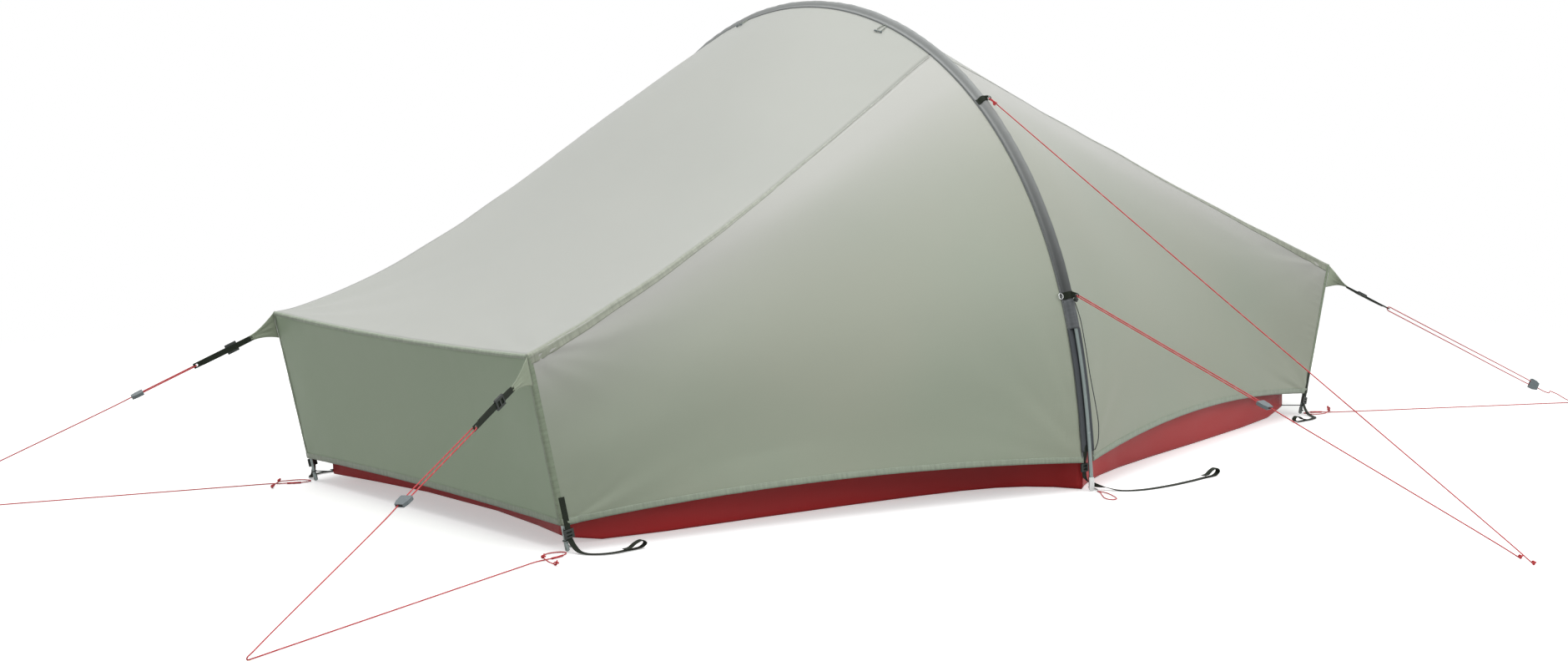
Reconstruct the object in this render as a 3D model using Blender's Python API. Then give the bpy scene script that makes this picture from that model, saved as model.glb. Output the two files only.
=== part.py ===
"""A pitched trekking tent with one arch pole across its middle and a low wall at each end.

Metres, +Z up. The arch stands in the plane x = 0, the front end is towards -X and the near side
towards -Y. The far side has the door. "end" is -1 for the front and +1 for the rear, and "side" is
-1 for the near side and +1 for the far side. The tent stands on z = 0.
"""

import bisect
import math

import bmesh
import bpy
from mathutils import Matrix, Vector

# Arch: the pole's centre line
ARCH_HEIGHT = 1.051
ARCH_HALF_SPAN = 0.892
ARCH_FOOT_COSINE = 0.0775
ARCH_BEND_POWER = 1.6
ARCH_STEPS = 400
POLE_RADIUS = 0.0045
POLE_SECTIONS = 3
SPIGOT_LENGTH = 0.030
SPIGOT_RADIUS = 0.0034
SOCKET_CLEARANCE = 0.0003
POLE_SPACING = 0.036
ROUND_SIDES = 10

# Sleeve round the arch pole
SLEEVE_HALF_WIDTH = 0.015
SLEEVE_DEPTH = 0.007
SLEEVE_SHOULDER = 0.010
SLEEVE_CROWN = 0.004
SLEEVE_WAIST = 0.0075
BORE_RADIUS = 0.0052
TUBE_END_HEIGHT = 0.344
BAND_END_HEIGHT = 0.085
BAND_THICKNESS = 0.0015

# Flysheet
FABRIC = 0.0012
GAP = 0.0003
SEAM_GAP = 0.0005
SEAM_HEIGHT = 0.935
ARCH_HEM_HEIGHT = 0.062
END_OFFSET_Y = -0.13
FRONT_TOP_X = 1.262
REAR_TOP_X = 1.280
TOP_HALF = 0.474
TOP_Z = 0.382
FOOT_X = 1.178
FOOT_HALF = 0.475
HEM_Z = 0.053
NEAR_SEAM_SAG = 0.035
FAR_SEAM_SAG = 0.058
REAR_SAG_SHARE = 0.24
SAG_SKEW = 1.3
FAR_SAG_SKEW = 1.75
ROOF_SAG = 0.012
SIDE_HOLLOW = 0.022
HEM_SAG_IN = 0.018
HEM_SAG_UP = 0.022
REAR_HEM_SAG_UP = 0.036
END_TOP_SAG = 0.010
END_HEM_RISE = 0.007
END_HOLLOW = 0.012
DOOR_TIP_SHARE = 0.982
DOOR_FOLD_GAP = 0.0013
DOOR_EDGE_GAP = 0.0004

# Corner struts
STRUT_RADIUS = 0.0037
STRUT_INSET = 0.0050
STRUT_TOP_DROP = 0.016
STRUT_TIP_RADIUS = 0.0046
STRUT_TIP_LENGTH = 0.018
LUG_LENGTH = 0.0095
LUG_HEIGHT = 0.011

# Foot of the arch pole
CUP_RADIUS = 0.0064
CUP_HEIGHT = 0.030
CUP_FLOOR = 0.0155
FOOT_BAR = (0.007, 0.026, 0.004)
FOOT_BAR_TILT = math.radians(10)
FOOT_BAR_OUT = 0.004

# Webbing, buckles and tabs
WEBBING_WIDTH = 0.012
WEBBING_THICKNESS = 0.0012
TAB_HEIGHT = 0.056
TAB_TOP = 0.002
TAB_LENGTH = 0.0785
TAB_STANDOFF = 0.0010
STRAP_LENGTH = 0.195
STRAP_HOLE = (0.0052, 0.0060)
CORD_IN_HOLE = 0.0010
STRAP_HOLE_MARGIN = 0.007
TOP_BUCKLE_DISTANCE = 0.106
BUCKLE_LENGTH = 0.026
BUCKLE_THICKNESS = 0.0052
BUCKLE_WALL = 0.0045
BUCKLE_BAR = 0.0042
FOOT_STRAP_RISE = 0.054
FOOT_BUCKLE_LENGTH = 0.018
FOOT_BUCKLE_THICKNESS = 0.0046
FOOT_BUCKLE_DROP = 0.018
STRAP_EDGE_INSET = 0.0095

# Bands that carry the arch guys
HIGH_BAND_HEIGHT = 0.829
MID_BAND_HEIGHT = 0.417
BAND_WIDTH = 0.015
BAND_TAB_LENGTH = 0.009
BAND_TAB_RISE = 0.0075
BAND_TAB_HOLE = 0.0026
BAND_TAB_WIDTH = 0.0095
RING_RADIUS = 0.0065
RING_WIRE = 0.0011

# Guy cords, and where each reaches the ground
CORD_DIAMETER = 0.0025
CORD_REST = 0.0014
STRAND_SPREAD = 0.0051
STRAND_CLOSE = 0.0026
FRONT_PEG_X = 1.984
FRONT_PEG_HALF = 0.745
REAR_PEG_X = 1.850
REAR_PEG_HALF = 0.850
ARCH_PEG = (0.067, -1.885)
FRONT_NEAR_LOCK = 0.420
FRONT_FAR_LOCK = 0.325
REAR_NEAR_LOCK = 0.660
MID_LOCK = 0.505
LOCK_LENGTH = 0.026
LOCK_WIDTH = 0.026
LOCK_TAIL_WIDTH = 0.0185
LOCK_THICKNESS = 0.0072
LOCK_CHANNEL = (0.0145, 0.0035)
PULLER_DIAMETER = 0.0020

# Loop toggles on the roof
TOGGLE_NEAR_Y = -0.275
TOGGLE_FAR_Y = 0.214
TOGGLE_LENGTH = 0.034
TOGGLE_BAR_LENGTH = 0.020
TOGGLE_BAR_RADIUS = 0.0024
TOGGLE_CORD_RADIUS = 0.0010
TOGGLE_LOOP_HALF = 0.0058

# Zip slider on the door
SLIDER_SIZE = (0.008, 0.012, 0.0040)
SLIDER_TRAVEL = 0.42
SLIDER_START_HEIGHT = 0.095
SLIDER_EDGE_INSET = 0.007
PULL_TAB = (0.005, 0.018, 0.0012)

# Inner tent
FLOOR_HALF_LENGTH = 1.150
FLOOR_NEAR_Y = -0.560
FLOOR_FAR_Y = 0.305
FLOOR_FAR_BULGE = 0.10
FLOOR_CORNER_LIFT = 0.018
FLOOR_CORNER_REACH = 0.14
FLOOR_END_LIFT = 0.015
FLOOR_RIM = 0.12
FLOOR_END_BOW = 0.055
FLOOR_TO_ARCH = 0.117
FLOOR_MIDDLE_Y = FLOOR_TO_ARCH - ARCH_HALF_SPAN
FLOOR_REAR_MIDDLE_Y = -0.750
FLOOR_FRONT_POWER = 0.62
FLOOR_REAR_POWER = 1.6
FLOOR_CUSP_Y = -0.866
FLOOR_CUSP_FRONT = 0.060
FLOOR_CUSP_REAR = 0.165
FLOOR_THICKNESS = 0.0015
TUB_HEIGHT = 0.100
CORNER_ELASTIC_RADIUS = 0.0012
CORNER_ELASTIC_HEIGHT = 0.0225
CORNER_ELASTIC_IN_FLOOR = 0.0010
CORNER_ELASTIC_ASIDE = 0.0050
CANOPY_UNDER_ROOF = 0.055
CANOPY_THICKNESS = 0.0012
CANOPY_POWER = 2.4
CANOPY_END_SHARE = 1.0714
DOORWAY_FRONT_X = -0.72
DOORWAY_REAR_X = -0.08

NEAR, FAR = -1, 1
FRONT, REAR = -1, 1
X_AXIS = Vector((1, 0, 0))
Y_AXIS = Vector((0, 1, 0))
Z_AXIS = Vector((0, 0, 1))


def clear_scene():
    for thing in list(bpy.data.objects):
        bpy.data.objects.remove(thing, do_unlink=True)


def material(name, colour, roughness, metallic=0.0):
    made = bpy.data.materials.new(name)
    made.use_nodes = True
    shader = made.node_tree.nodes["Principled BSDF"]
    shader.inputs["Base Color"].default_value = (*colour, 1.0)
    shader.inputs["Roughness"].default_value = roughness
    shader.inputs["Metallic"].default_value = metallic
    return made


def mix(low, high, share):
    return low + (high - low) * share


def bow(share):
    """0 at both ends of a span and 1 in its middle."""
    return 4 * share * (1 - share)


def hang(share, across):
    """As bow, with the lowest place nearer to the tent's end, and more so at the far seam."""
    return bow(share ** mix(SAG_SKEW, FAR_SAG_SKEW, across))


# The arch line

def arch_line():
    """Points from the near foot over the top to the far foot. The bend grows with the height."""
    reach = [0.0]
    heights = [1.0]
    for step in range(ARCH_STEPS):
        high = 1 - (step / ARCH_STEPS) ** 2
        low = 1 - ((step + 1) / ARCH_STEPS) ** 2
        middle = (high + low) / 2
        cosine = 1 - (1 - ARCH_FOOT_COSINE) * (1 - middle ** ARCH_BEND_POWER)
        reach.append(reach[-1] + cosine / math.sqrt(1 - cosine ** 2) * (high - low))
        heights.append(low)
    leg = [
        Vector((0, ARCH_HALF_SPAN * out / reach[-1], ARCH_HEIGHT * high))
        for out, high in zip(reach, heights)
    ]
    near_leg = [Vector((0, -point.y, point.z)) for point in reversed(leg)]
    return near_leg + leg[1:]


def runs_of(points):
    runs = [0.0]
    for first, second in zip(points, points[1:]):
        runs.append(runs[-1] + (second - first).length)
    return runs


ARCH = arch_line()
ARCH_RUNS = runs_of(ARCH)
ARCH_LENGTH = ARCH_RUNS[-1]


def arch_centre(distance):
    place = bisect.bisect_right(ARCH_RUNS, distance) - 1
    place = min(max(place, 0), len(ARCH) - 2)
    share = (distance - ARCH_RUNS[place]) / (ARCH_RUNS[place + 1] - ARCH_RUNS[place])
    return ARCH[place].lerp(ARCH[place + 1], share)


def arch_tangent(distance):
    return (arch_centre(distance + 0.006) - arch_centre(distance - 0.006)).normalized()


def arch_outward(distance):
    return X_AXIS.cross(arch_tangent(distance))


def on_arch(distance, outward=0.0, x=0.0):
    return arch_centre(distance) + arch_outward(distance) * outward + X_AXIS * x


def distance_at_height(height, side=NEAR):
    """How far along the arch this height comes, on the near or the far leg."""
    near_heights = [point.z for point in ARCH[: ARCH_STEPS + 1]]
    place = bisect.bisect_right(near_heights, height) - 1
    share = (height - near_heights[place]) / (near_heights[place + 1] - near_heights[place])
    distance = mix(ARCH_RUNS[place], ARCH_RUNS[place + 1], share)
    return distance if side == NEAR else ARCH_LENGTH - distance


def distance_at_y(y):
    places = [point.y for point in ARCH]
    place = bisect.bisect_right(places, y) - 1
    share = (y - places[place]) / (places[place + 1] - places[place])
    return mix(ARCH_RUNS[place], ARCH_RUNS[place + 1], share)


SEAM_DISTANCE = distance_at_height(SEAM_HEIGHT)
HEM_DISTANCE = distance_at_height(ARCH_HEM_HEIGHT)
TUBE_END_DISTANCE = distance_at_height(TUBE_END_HEIGHT)
BAND_END_DISTANCE = distance_at_height(BAND_END_HEIGHT)
FLY_EDGE_X = SLEEVE_HALF_WIDTH + GAP


# Making objects

def add_object(name, mesh, fabric, smooth=False):
    thing = bpy.data.objects.new(name, mesh)
    bpy.context.scene.collection.objects.link(thing)
    mesh.materials.append(fabric)
    mesh.polygons.foreach_set("use_smooth", [smooth] * len(mesh.polygons))
    return thing


def mesh_object(name, form, fabric, smooth=False):
    mesh = bpy.data.meshes.new(name)
    form.to_mesh(mesh)
    form.free()
    return add_object(name, mesh, fabric, smooth)


def put_origin(thing, point):
    """Moves the object's origin onto its joint's axis and leaves its shape where it is."""
    thing.data.transform(Matrix.Translation(-point))
    thing.location = point


def loft_form(rings, crease=None):
    """A closed solid through rings of as many points each, with its two end rings filled. crease(band, place)
    tells from which corner a twisted face is split in two, or gives None."""
    form = bmesh.new()
    rows = [[form.verts.new(point) for point in ring] for ring in rings]
    count = len(rows[0])
    for band, (low, high) in enumerate(zip(rows, rows[1:])):
        for place in range(count):
            after = (place + 1) % count
            corners = [low[place], low[after], high[after], high[place]]
            start = crease(band, place) if crease else None
            if start is None:
                form.faces.new(corners)
            else:
                corners = corners[start:] + corners[:start]
                form.faces.new(corners[:3])
                form.faces.new([corners[0], *corners[2:]])
    form.faces.new(list(reversed(rows[0])))
    form.faces.new(rows[-1])
    bmesh.ops.recalc_face_normals(form, faces=form.faces[:])
    return form


def loft(name, rings, fabric, smooth=False, crease=None):
    return mesh_object(name, loft_form(rings, crease), fabric, smooth)


def crease_rim(band, _):
    """The floor's rim is split along the same lines on both faces of the cloth."""
    return {0: 0, 4: 1}.get(band)


def crease_strap(_, place):
    """A twisted strap is split along the same lines on its front and its back."""
    return {0: 0, 2: 1}.get(place)


def sheet(name, columns, rows, place_at, outward, thickness, fabric, keep=None, weld=0.0):
    """A cloth over the surface place_at(u, v), thickened outwards, with u and v from 0 to 1."""
    form = bmesh.new()
    bmesh.ops.create_grid(form, x_segments=columns, y_segments=rows, size=0.5)
    if keep:
        dropped = []
        for face in form.faces:
            middle = face.calc_center_median()
            if not keep(middle.x + 0.5, middle.y + 0.5):
                dropped.append(face)
        bmesh.ops.delete(form, geom=dropped, context="FACES")
    for vertex in form.verts:
        vertex.co = place_at(vertex.co.x + 0.5, vertex.co.y + 0.5)
    if weld:
        bmesh.ops.remove_doubles(form, verts=form.verts[:], dist=weld)
    form.normal_update()
    facing = sum((face.normal * face.calc_area() for face in form.faces), Vector())
    if facing.dot(outward) < 0:
        bmesh.ops.reverse_faces(form, faces=form.faces[:])
    thing = mesh_object(name, form, fabric, smooth=True)
    shell = thing.modifiers.new("thickness", "SOLIDIFY")
    shell.thickness = thickness
    shell.offset = 1.0
    return thing


def block_form(size, bevel=0.0, sides=1):
    form = bmesh.new()
    bmesh.ops.create_cube(form, size=1.0, matrix=Matrix.Diagonal((*size, 1.0)))
    if bevel:
        bmesh.ops.bevel(
            form, geom=form.edges[:], offset=bevel, segments=sides, affect="EDGES", profile=0.5
        )
    return form


def frame_matrix(origin, x_way, y_way, z_way):
    """A placement whose local axes lie along three square unit vectors."""
    turned = Matrix((x_way, y_way, z_way)).transposed().to_4x4()
    return Matrix.Translation(origin) @ turned


def placed_block(name, size, placement, fabric, bevel=0.0):
    form = block_form(size, bevel)
    form.transform(placement)
    return mesh_object(name, form, fabric)


def combine(thing, other, operation):
    other.hide_render = True
    other.display_type = "WIRE"
    step = thing.modifiers.new(operation.lower(), "BOOLEAN")
    step.operation = operation
    step.solver = "EXACT"
    step.object = other


def cut(thing, cutter):
    combine(thing, cutter, "DIFFERENCE")


def join(thing, other):
    combine(thing, other, "UNION")


def circle_ring(centre, first, second, radius, sides=ROUND_SIDES):
    turns = [2 * math.pi * step / sides for step in range(sides)]
    return [centre + first * (radius * math.cos(turn)) + second * (radius * math.sin(turn)) for turn in turns]


def arch_ring(distance, radius):
    return circle_ring(arch_centre(distance), X_AXIS, arch_outward(distance), radius)


def arch_steps(first, last, spacing):
    count = max(1, round(abs(last - first) / spacing))
    return [mix(first, last, step / count) for step in range(count + 1)]


def ribbon(name, centres, side_ways, widths, thickness, fabric, squared=True, crease=None):
    """A flat strap along these points. Each side way is the direction that its width lies in."""
    rings = []
    for place, centre in enumerate(centres):
        before = centres[max(place - 1, 0)]
        after = centres[min(place + 1, len(centres) - 1)]
        tangent = (after - before).normalized()
        across = side_ways[place]
        if squared:
            across = (across - tangent * across.dot(tangent)).normalized()
        up = tangent.cross(across).normalized()
        half = across * (widths[place] / 2)
        rise = up * (thickness / 2)
        rings.append([centre - half - rise, centre + half - rise, centre + half + rise, centre - half + rise])
    return loft(name, rings, fabric, crease=crease)


def curve_through(points, counts):
    """Points of a smooth curve through the given ones, with its own number of steps in each span."""
    padded = [points[0] * 2 - points[1], *points, points[-1] * 2 - points[-2]]
    found = [points[0]]
    for place, count in enumerate(counts):
        a, b, c, d = padded[place : place + 4]
        t0 = 0.0
        t1 = t0 + math.sqrt((b - a).length)
        t2 = t1 + math.sqrt((c - b).length)
        t3 = t2 + math.sqrt((d - c).length)
        for step in range(1, count + 1):
            t = mix(t1, t2, step / count)
            ab = a * ((t1 - t) / (t1 - t0)) + b * ((t - t0) / (t1 - t0))
            bc = b * ((t2 - t) / (t2 - t1)) + c * ((t - t1) / (t2 - t1))
            cd = c * ((t3 - t) / (t3 - t2)) + d * ((t - t2) / (t3 - t2))
            abc = ab * ((t2 - t) / (t2 - t0)) + bc * ((t - t0) / (t2 - t0))
            bcd = bc * ((t3 - t) / (t3 - t1)) + cd * ((t - t1) / (t3 - t1))
            found.append(abc * ((t2 - t) / (t2 - t1)) + bcd * ((t - t1) / (t2 - t1)))
    return found


def ways_through(ways, counts):
    """Directions that turn evenly from each of the given ones to the next."""
    found = [ways[0].normalized()]
    for first, second, count in zip(ways, ways[1:], counts):
        found += [first.lerp(second, step / count).normalized() for step in range(1, count + 1)]
    return found


def cord(name, points, counts, diameter, fabric):
    """A round cord of this diameter along a smooth curve through its route's points."""
    path = curve_through(points, counts)
    data = bpy.data.curves.new(name, "CURVE")
    data.dimensions = "3D"
    data.bevel_depth = diameter / 2
    data.bevel_resolution = 1
    data.use_fill_caps = True
    line = data.splines.new("POLY")
    line.points.add(len(path) - 1)
    for spot, point in zip(line.points, path):
        spot.co = (*point, 1.0)
    thing = bpy.data.objects.new(name, data)
    bpy.context.scene.collection.objects.link(thing)
    data.materials.append(fabric)
    return thing


# The flysheet's surface

def edge_point(end, side, height):
    """A point of the slanting corner edge, between the end wall and the side."""
    share = height / TOP_Z
    top_x = FRONT_TOP_X if end == FRONT else REAR_TOP_X
    return Vector((
        end * mix(FOOT_X, top_x, share),
        END_OFFSET_Y + side * mix(FOOT_HALF, TOP_HALF, share),
        height,
    ))


def fly_at_arch(distance, end):
    return on_arch(distance, -SLEEVE_DEPTH, end * FLY_EDGE_X)


def seam_sag(end, across):
    """How far the roof hangs in its middle: 0 across is at the near seam and 1 at the far one."""
    sag = mix(NEAR_SEAM_SAG, FAR_SEAM_SAG, across) + ROOF_SAG * bow(across)
    return sag * (REAR_SAG_SHARE if end == REAR else 1)


def roof_surface(end):
    def place_at(u, v):
        across = mix(SEAM_GAP / 2, 1 - SEAM_GAP / 2, u)
        along = v * (1 - SEAM_GAP)
        at_arch = fly_at_arch(mix(SEAM_DISTANCE, ARCH_LENGTH - SEAM_DISTANCE, across), end)
        at_end = edge_point(end, NEAR, TOP_Z).lerp(edge_point(end, FAR, TOP_Z), across)
        at_end.z -= END_TOP_SAG * bow(across)
        return at_arch.lerp(at_end, along) - Z_AXIS * seam_sag(end, across) * hang(along, across)

    return place_at


def side_surface(end, side):
    """u runs from the roof seam down to the hem, and v from the arch to the corner."""

    def place_at(u, v):
        down = mix(SEAM_GAP / 2, 1, u)
        along = v * (1 - SEAM_GAP / 2)
        distance = mix(SEAM_DISTANCE, HEM_DISTANCE, down)
        if side == FAR:
            distance = ARCH_LENGTH - distance
        at_arch = fly_at_arch(distance, end)
        at_end = edge_point(end, side, mix(TOP_Z, HEM_Z, down))
        rise = (HEM_SAG_UP if end == FRONT else REAR_HEM_SAG_UP) * down ** 2
        sag = Vector((0, -side * (HEM_SAG_IN * down + SIDE_HOLLOW * bow(down)), rise))
        across = 0 if side == NEAR else 1
        drop = seam_sag(end, across) * (1 - down) * hang(along, across)
        return at_arch.lerp(at_end, along) + sag * bow(along) - Z_AXIS * drop

    return place_at


def end_surface(end):
    def place_at(u, v):
        across = mix(SEAM_GAP / 2, 1 - SEAM_GAP / 2, u)
        down = mix(SEAM_GAP, 1, v)
        height = mix(TOP_Z, HEM_Z, down)
        point = edge_point(end, NEAR, height).lerp(edge_point(end, FAR, height), across)
        point.z += bow(across) * mix(-END_TOP_SAG, END_HEM_RISE, down)
        point.x -= end * END_HOLLOW * bow(across) * bow(down)
        return point

    return place_at


DOOR_HEAD = fly_at_arch(ARCH_LENGTH - SEAM_DISTANCE, FRONT)
DOOR_CORNER = edge_point(FRONT, FAR, HEM_Z)


def door_surface(u, v):
    """The door narrows from the arch to the bottom corner, so that its fold line is straight."""
    at_arch = fly_at_arch(ARCH_LENGTH - mix(SEAM_DISTANCE, HEM_DISTANCE, u), FRONT)
    at_arch.x -= DOOR_EDGE_GAP
    along = v * DOOR_TIP_SHARE
    sag = Vector((0, -(HEM_SAG_IN * u ** 2 + SIDE_HOLLOW * bow(u)), HEM_SAG_UP * u ** 2))
    point = at_arch.lerp(DOOR_CORNER, along) + sag * bow(along)
    fold = (DOOR_CORNER - DOOR_HEAD).normalized()
    away = point - DOOR_HEAD
    away = away - fold * away.dot(fold)
    down_door = fly_at_arch(ARCH_LENGTH - HEM_DISTANCE, FRONT) - DOOR_HEAD
    down_door = (down_door - fold * down_door.dot(fold)).normalized()
    short = DOOR_FOLD_GAP - away.dot(down_door)
    if short > 0:
        point = point + down_door * short
    return point


def beside_door_surface(u, v):
    """The fixed cloth between the roof seam, the far corner and the door's fold line."""
    along = mix(0.045, 1 - SEAM_GAP / 2, v)
    down = mix(SEAM_GAP * 2, 1, u)
    at_end = edge_point(FRONT, FAR, mix(TOP_Z, HEM_Z, down))
    return DOOR_HEAD.lerp(at_end, along) - Z_AXIS * seam_sag(FRONT, 1) * hang(along, 1) * (1 - down)


def make_fly(cloth, door_cloth):
    for end, word in ((FRONT, "front"), (REAR, "rear")):
        sheet(f"fly_{word}_roof", 12, 12, roof_surface(end), Z_AXIS, FABRIC, cloth)
        sheet(f"fly_{word}_end", 8, 5, end_surface(end), X_AXIS * end, FABRIC, cloth)
        sheet(f"fly_{word}_side_near", 9, 12, side_surface(end, NEAR), -Y_AXIS, FABRIC, cloth)
    sheet("fly_rear_side_far", 9, 12, side_surface(REAR, FAR), Y_AXIS, FABRIC, cloth)
    sheet("fly_front_side_far", 5, 10, beside_door_surface, Y_AXIS, FABRIC, cloth)
    door = sheet("fly_door", 10, 12, door_surface, Y_AXIS, FABRIC, door_cloth)
    fold = (DOOR_HEAD - DOOR_CORNER).normalized()
    facing = fold.cross(fly_at_arch(ARCH_LENGTH - HEM_DISTANCE, FRONT) - DOOR_HEAD).normalized()
    put_origin(door, DOOR_CORNER + facing * math.copysign(FABRIC, facing.y))


# Pole sleeve, pole and its feet

def sleeve_section(flat):
    """The sleeve's outline as (x, outward) pairs. A flat one is the band below the sleeve's mouth."""
    top_edge = -SLEEVE_DEPTH + FABRIC
    band_top = -SLEEVE_DEPTH + BAND_THICKNESS
    if flat:
        right = [
            (SLEEVE_HALF_WIDTH, top_edge),
            (SLEEVE_SHOULDER, mix(top_edge, band_top, 0.4)),
            (SLEEVE_WAIST, mix(top_edge, band_top, 0.7)),
            (SLEEVE_CROWN, band_top),
        ]
    else:
        right = [
            (SLEEVE_HALF_WIDTH, top_edge),
            (SLEEVE_SHOULDER, -SLEEVE_CROWN),
            (SLEEVE_WAIST, 0.0025),
            (SLEEVE_CROWN, SLEEVE_DEPTH),
        ]
    left = [(-x, outward) for x, outward in reversed(right)]
    return [(-SLEEVE_HALF_WIDTH, -SLEEVE_DEPTH), (SLEEVE_HALF_WIDTH, -SLEEVE_DEPTH), *right, *left]


def make_sleeve(cloth):
    mouth_slope = 0.004
    stations = [(distance, True) for distance in arch_steps(BAND_END_DISTANCE, TUBE_END_DISTANCE, 0.06)]
    far_mouth = ARCH_LENGTH - TUBE_END_DISTANCE
    tube = arch_steps(TUBE_END_DISTANCE + mouth_slope, far_mouth - mouth_slope, POLE_SPACING)
    stations += [(distance, False) for distance in tube]
    far_band_end = ARCH_LENGTH - BAND_END_DISTANCE
    stations += [(distance, True) for distance in arch_steps(far_mouth, far_band_end, 0.06)]
    rings = [
        [on_arch(distance, outward, x) for x, outward in sleeve_section(flat)]
        for distance, flat in stations
    ]
    sleeve = loft("pole_sleeve", rings, cloth)
    reach = 0.02
    bore = [arch_ring(distance, BORE_RADIUS) for distance in arch_steps(
        TUBE_END_DISTANCE - reach, far_mouth + reach, POLE_SPACING)]
    cut(sleeve, loft("sleeve_bore_cutter", bore, cloth))


def make_pole(alloy):
    """Three sections from foot to foot. The top one has a spigot at each end, in its neighbour's socket."""
    section = ARCH_LENGTH / POLE_SECTIONS
    socket_radius = SPIGOT_RADIUS + SOCKET_CLEARANCE
    start = CUP_FLOOR + GAP * 2
    for side, word in ((NEAR, "near"), (FAR, "far")):
        rings = [arch_ring(distance, POLE_RADIUS) for distance in arch_steps(start, section, POLE_SPACING)]
        rings.append(arch_ring(section, socket_radius))
        rings.append(arch_ring(section - SPIGOT_LENGTH - GAP * 3, socket_radius))
        if side == FAR:
            rings = [[Vector((-point.x, -point.y, point.z)) for point in ring] for ring in rings]
        loft(f"arch_pole_{word}", rings, alloy, smooth=True)
    first = section + GAP
    last = ARCH_LENGTH - section - GAP
    rings = [arch_ring(section - SPIGOT_LENGTH, SPIGOT_RADIUS), arch_ring(first, SPIGOT_RADIUS)]
    rings += [arch_ring(distance, POLE_RADIUS) for distance in arch_steps(first, last, POLE_SPACING)]
    rings.append(arch_ring(last, SPIGOT_RADIUS))
    rings.append(arch_ring(ARCH_LENGTH - section + SPIGOT_LENGTH, SPIGOT_RADIUS))
    loft("arch_pole_top", rings, alloy, smooth=True)


def make_arch_feet(metal):
    """A cup that the pole stands in, on a short bar that the strap holds down."""
    outline = [(0.0006, 0.0040), (0.0030, CUP_RADIUS), (CUP_HEIGHT, CUP_RADIUS - 0.0002)]
    outline += [(CUP_HEIGHT, POLE_RADIUS + SOCKET_CLEARANCE), (CUP_FLOOR, POLE_RADIUS + SOCKET_CLEARANCE)]
    for side, word in ((NEAR, "near"), (FAR, "far")):
        rings = [arch_ring(distance, radius) for distance, radius in outline]
        if side == FAR:
            rings = [[Vector((-point.x, -point.y, point.z)) for point in ring] for ring in rings]
        cup = loft(f"arch_foot_{word}", rings, metal)
        spot = Vector((0, side * (ARCH_HALF_SPAN + FOOT_BAR_OUT), 0.0055))
        placement = Matrix.Translation(spot) @ Matrix.Rotation(-side * FOOT_BAR_TILT, 4, "X")
        join(cup, placed_block(f"arch_foot_bar_{word}", FOOT_BAR, placement, metal, bevel=0.001))


def strut_ends(end, side):
    inset = Vector((end, side, 0)) * STRUT_INSET
    return edge_point(end, side, 0) - inset, edge_point(end, side, TOP_Z - STRUT_TOP_DROP) - inset


def make_struts(metal):
    for end, side, word in CORNERS:
        foot, top = strut_ends(end, side)
        way = (top - foot).normalized()
        first = Y_AXIS.cross(way).normalized()
        second = way.cross(first)
        length = (top - foot).length
        outline = [
            (0.0009, STRUT_TIP_RADIUS * 0.5),
            (0.003, STRUT_TIP_RADIUS),
            (STRUT_TIP_LENGTH, STRUT_TIP_RADIUS),
            (STRUT_TIP_LENGTH + 0.001, STRUT_RADIUS),
            (length - 0.002, STRUT_RADIUS),
            (length, STRUT_RADIUS * 0.6),
        ]
        rings = [circle_ring(foot + way * rise, first, second, radius, 8) for rise, radius in outline]
        strut = loft(f"corner_strut_{word}", rings, metal)
        reach = Vector((-end * 0.45, side, 0)).normalized()
        lug_size = (LUG_LENGTH, 0.004, 0.003)
        spot = foot + way * LUG_HEIGHT + reach * (LUG_LENGTH / 2 + 0.001)
        placement = frame_matrix(spot, reach, Z_AXIS.cross(reach), Z_AXIS)
        join(strut, placed_block(f"strut_lug_{word}", lug_size, placement, metal))


CORNERS = (
    (FRONT, NEAR, "front_near"),
    (FRONT, FAR, "front_far"),
    (REAR, NEAR, "rear_near"),
    (REAR, FAR, "rear_far"),
)


# Top corner straps, buckles and their guy cords

def peg_of(end, side):
    if end == FRONT:
        return Vector((-FRONT_PEG_X, END_OFFSET_Y + side * FRONT_PEG_HALF, 0))
    return Vector((REAR_PEG_X, END_OFFSET_Y + side * REAR_PEG_HALF, 0))


def corner_frame(end, side):
    """The middle of the tab's base, the way to its peg, the width way and the way square to both."""
    down_edge = (edge_point(end, side, 0) - edge_point(end, side, TOP_Z)).normalized()
    corner = edge_point(end, side, TOP_Z) + down_edge * (TAB_TOP + TAB_HEIGHT / 2)
    way = (peg_of(end, side) - corner).normalized()
    width_way = (down_edge - way * down_edge.dot(way)).normalized()
    if (end, side) == (REAR, NEAR):
        width_way = way.cross(width_way)
    return corner, way, width_way, way.cross(width_way)


def make_buckle(name, length, thickness, spot, way, width_way, plastic):
    """A ladder buckle: a frame with a cross bar, and the webbing's channel through it."""
    across = way.cross(width_way)
    placement = frame_matrix(spot, way, width_way, across)
    width = WEBBING_WIDTH + 2 * (BUCKLE_WALL + GAP)
    buckle = placed_block(name, (length, width, thickness), placement, plastic, bevel=0.0008)
    channel = (length * 2, WEBBING_WIDTH + 2 * GAP, WEBBING_THICKNESS + 2 * GAP)
    cut(buckle, placed_block(f"{name}_channel", channel, placement, plastic))
    window = (length - 3 * BUCKLE_BAR) / 2
    for step in (-1, 1):
        middle = placement @ Matrix.Translation((step * (window + BUCKLE_BAR) / 2, 0, 0))
        size = (window, WEBBING_WIDTH - 0.001, thickness * 2)
        cut(buckle, placed_block(f"{name}_window_{step + 1}", size, middle, plastic))
    return buckle


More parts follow.
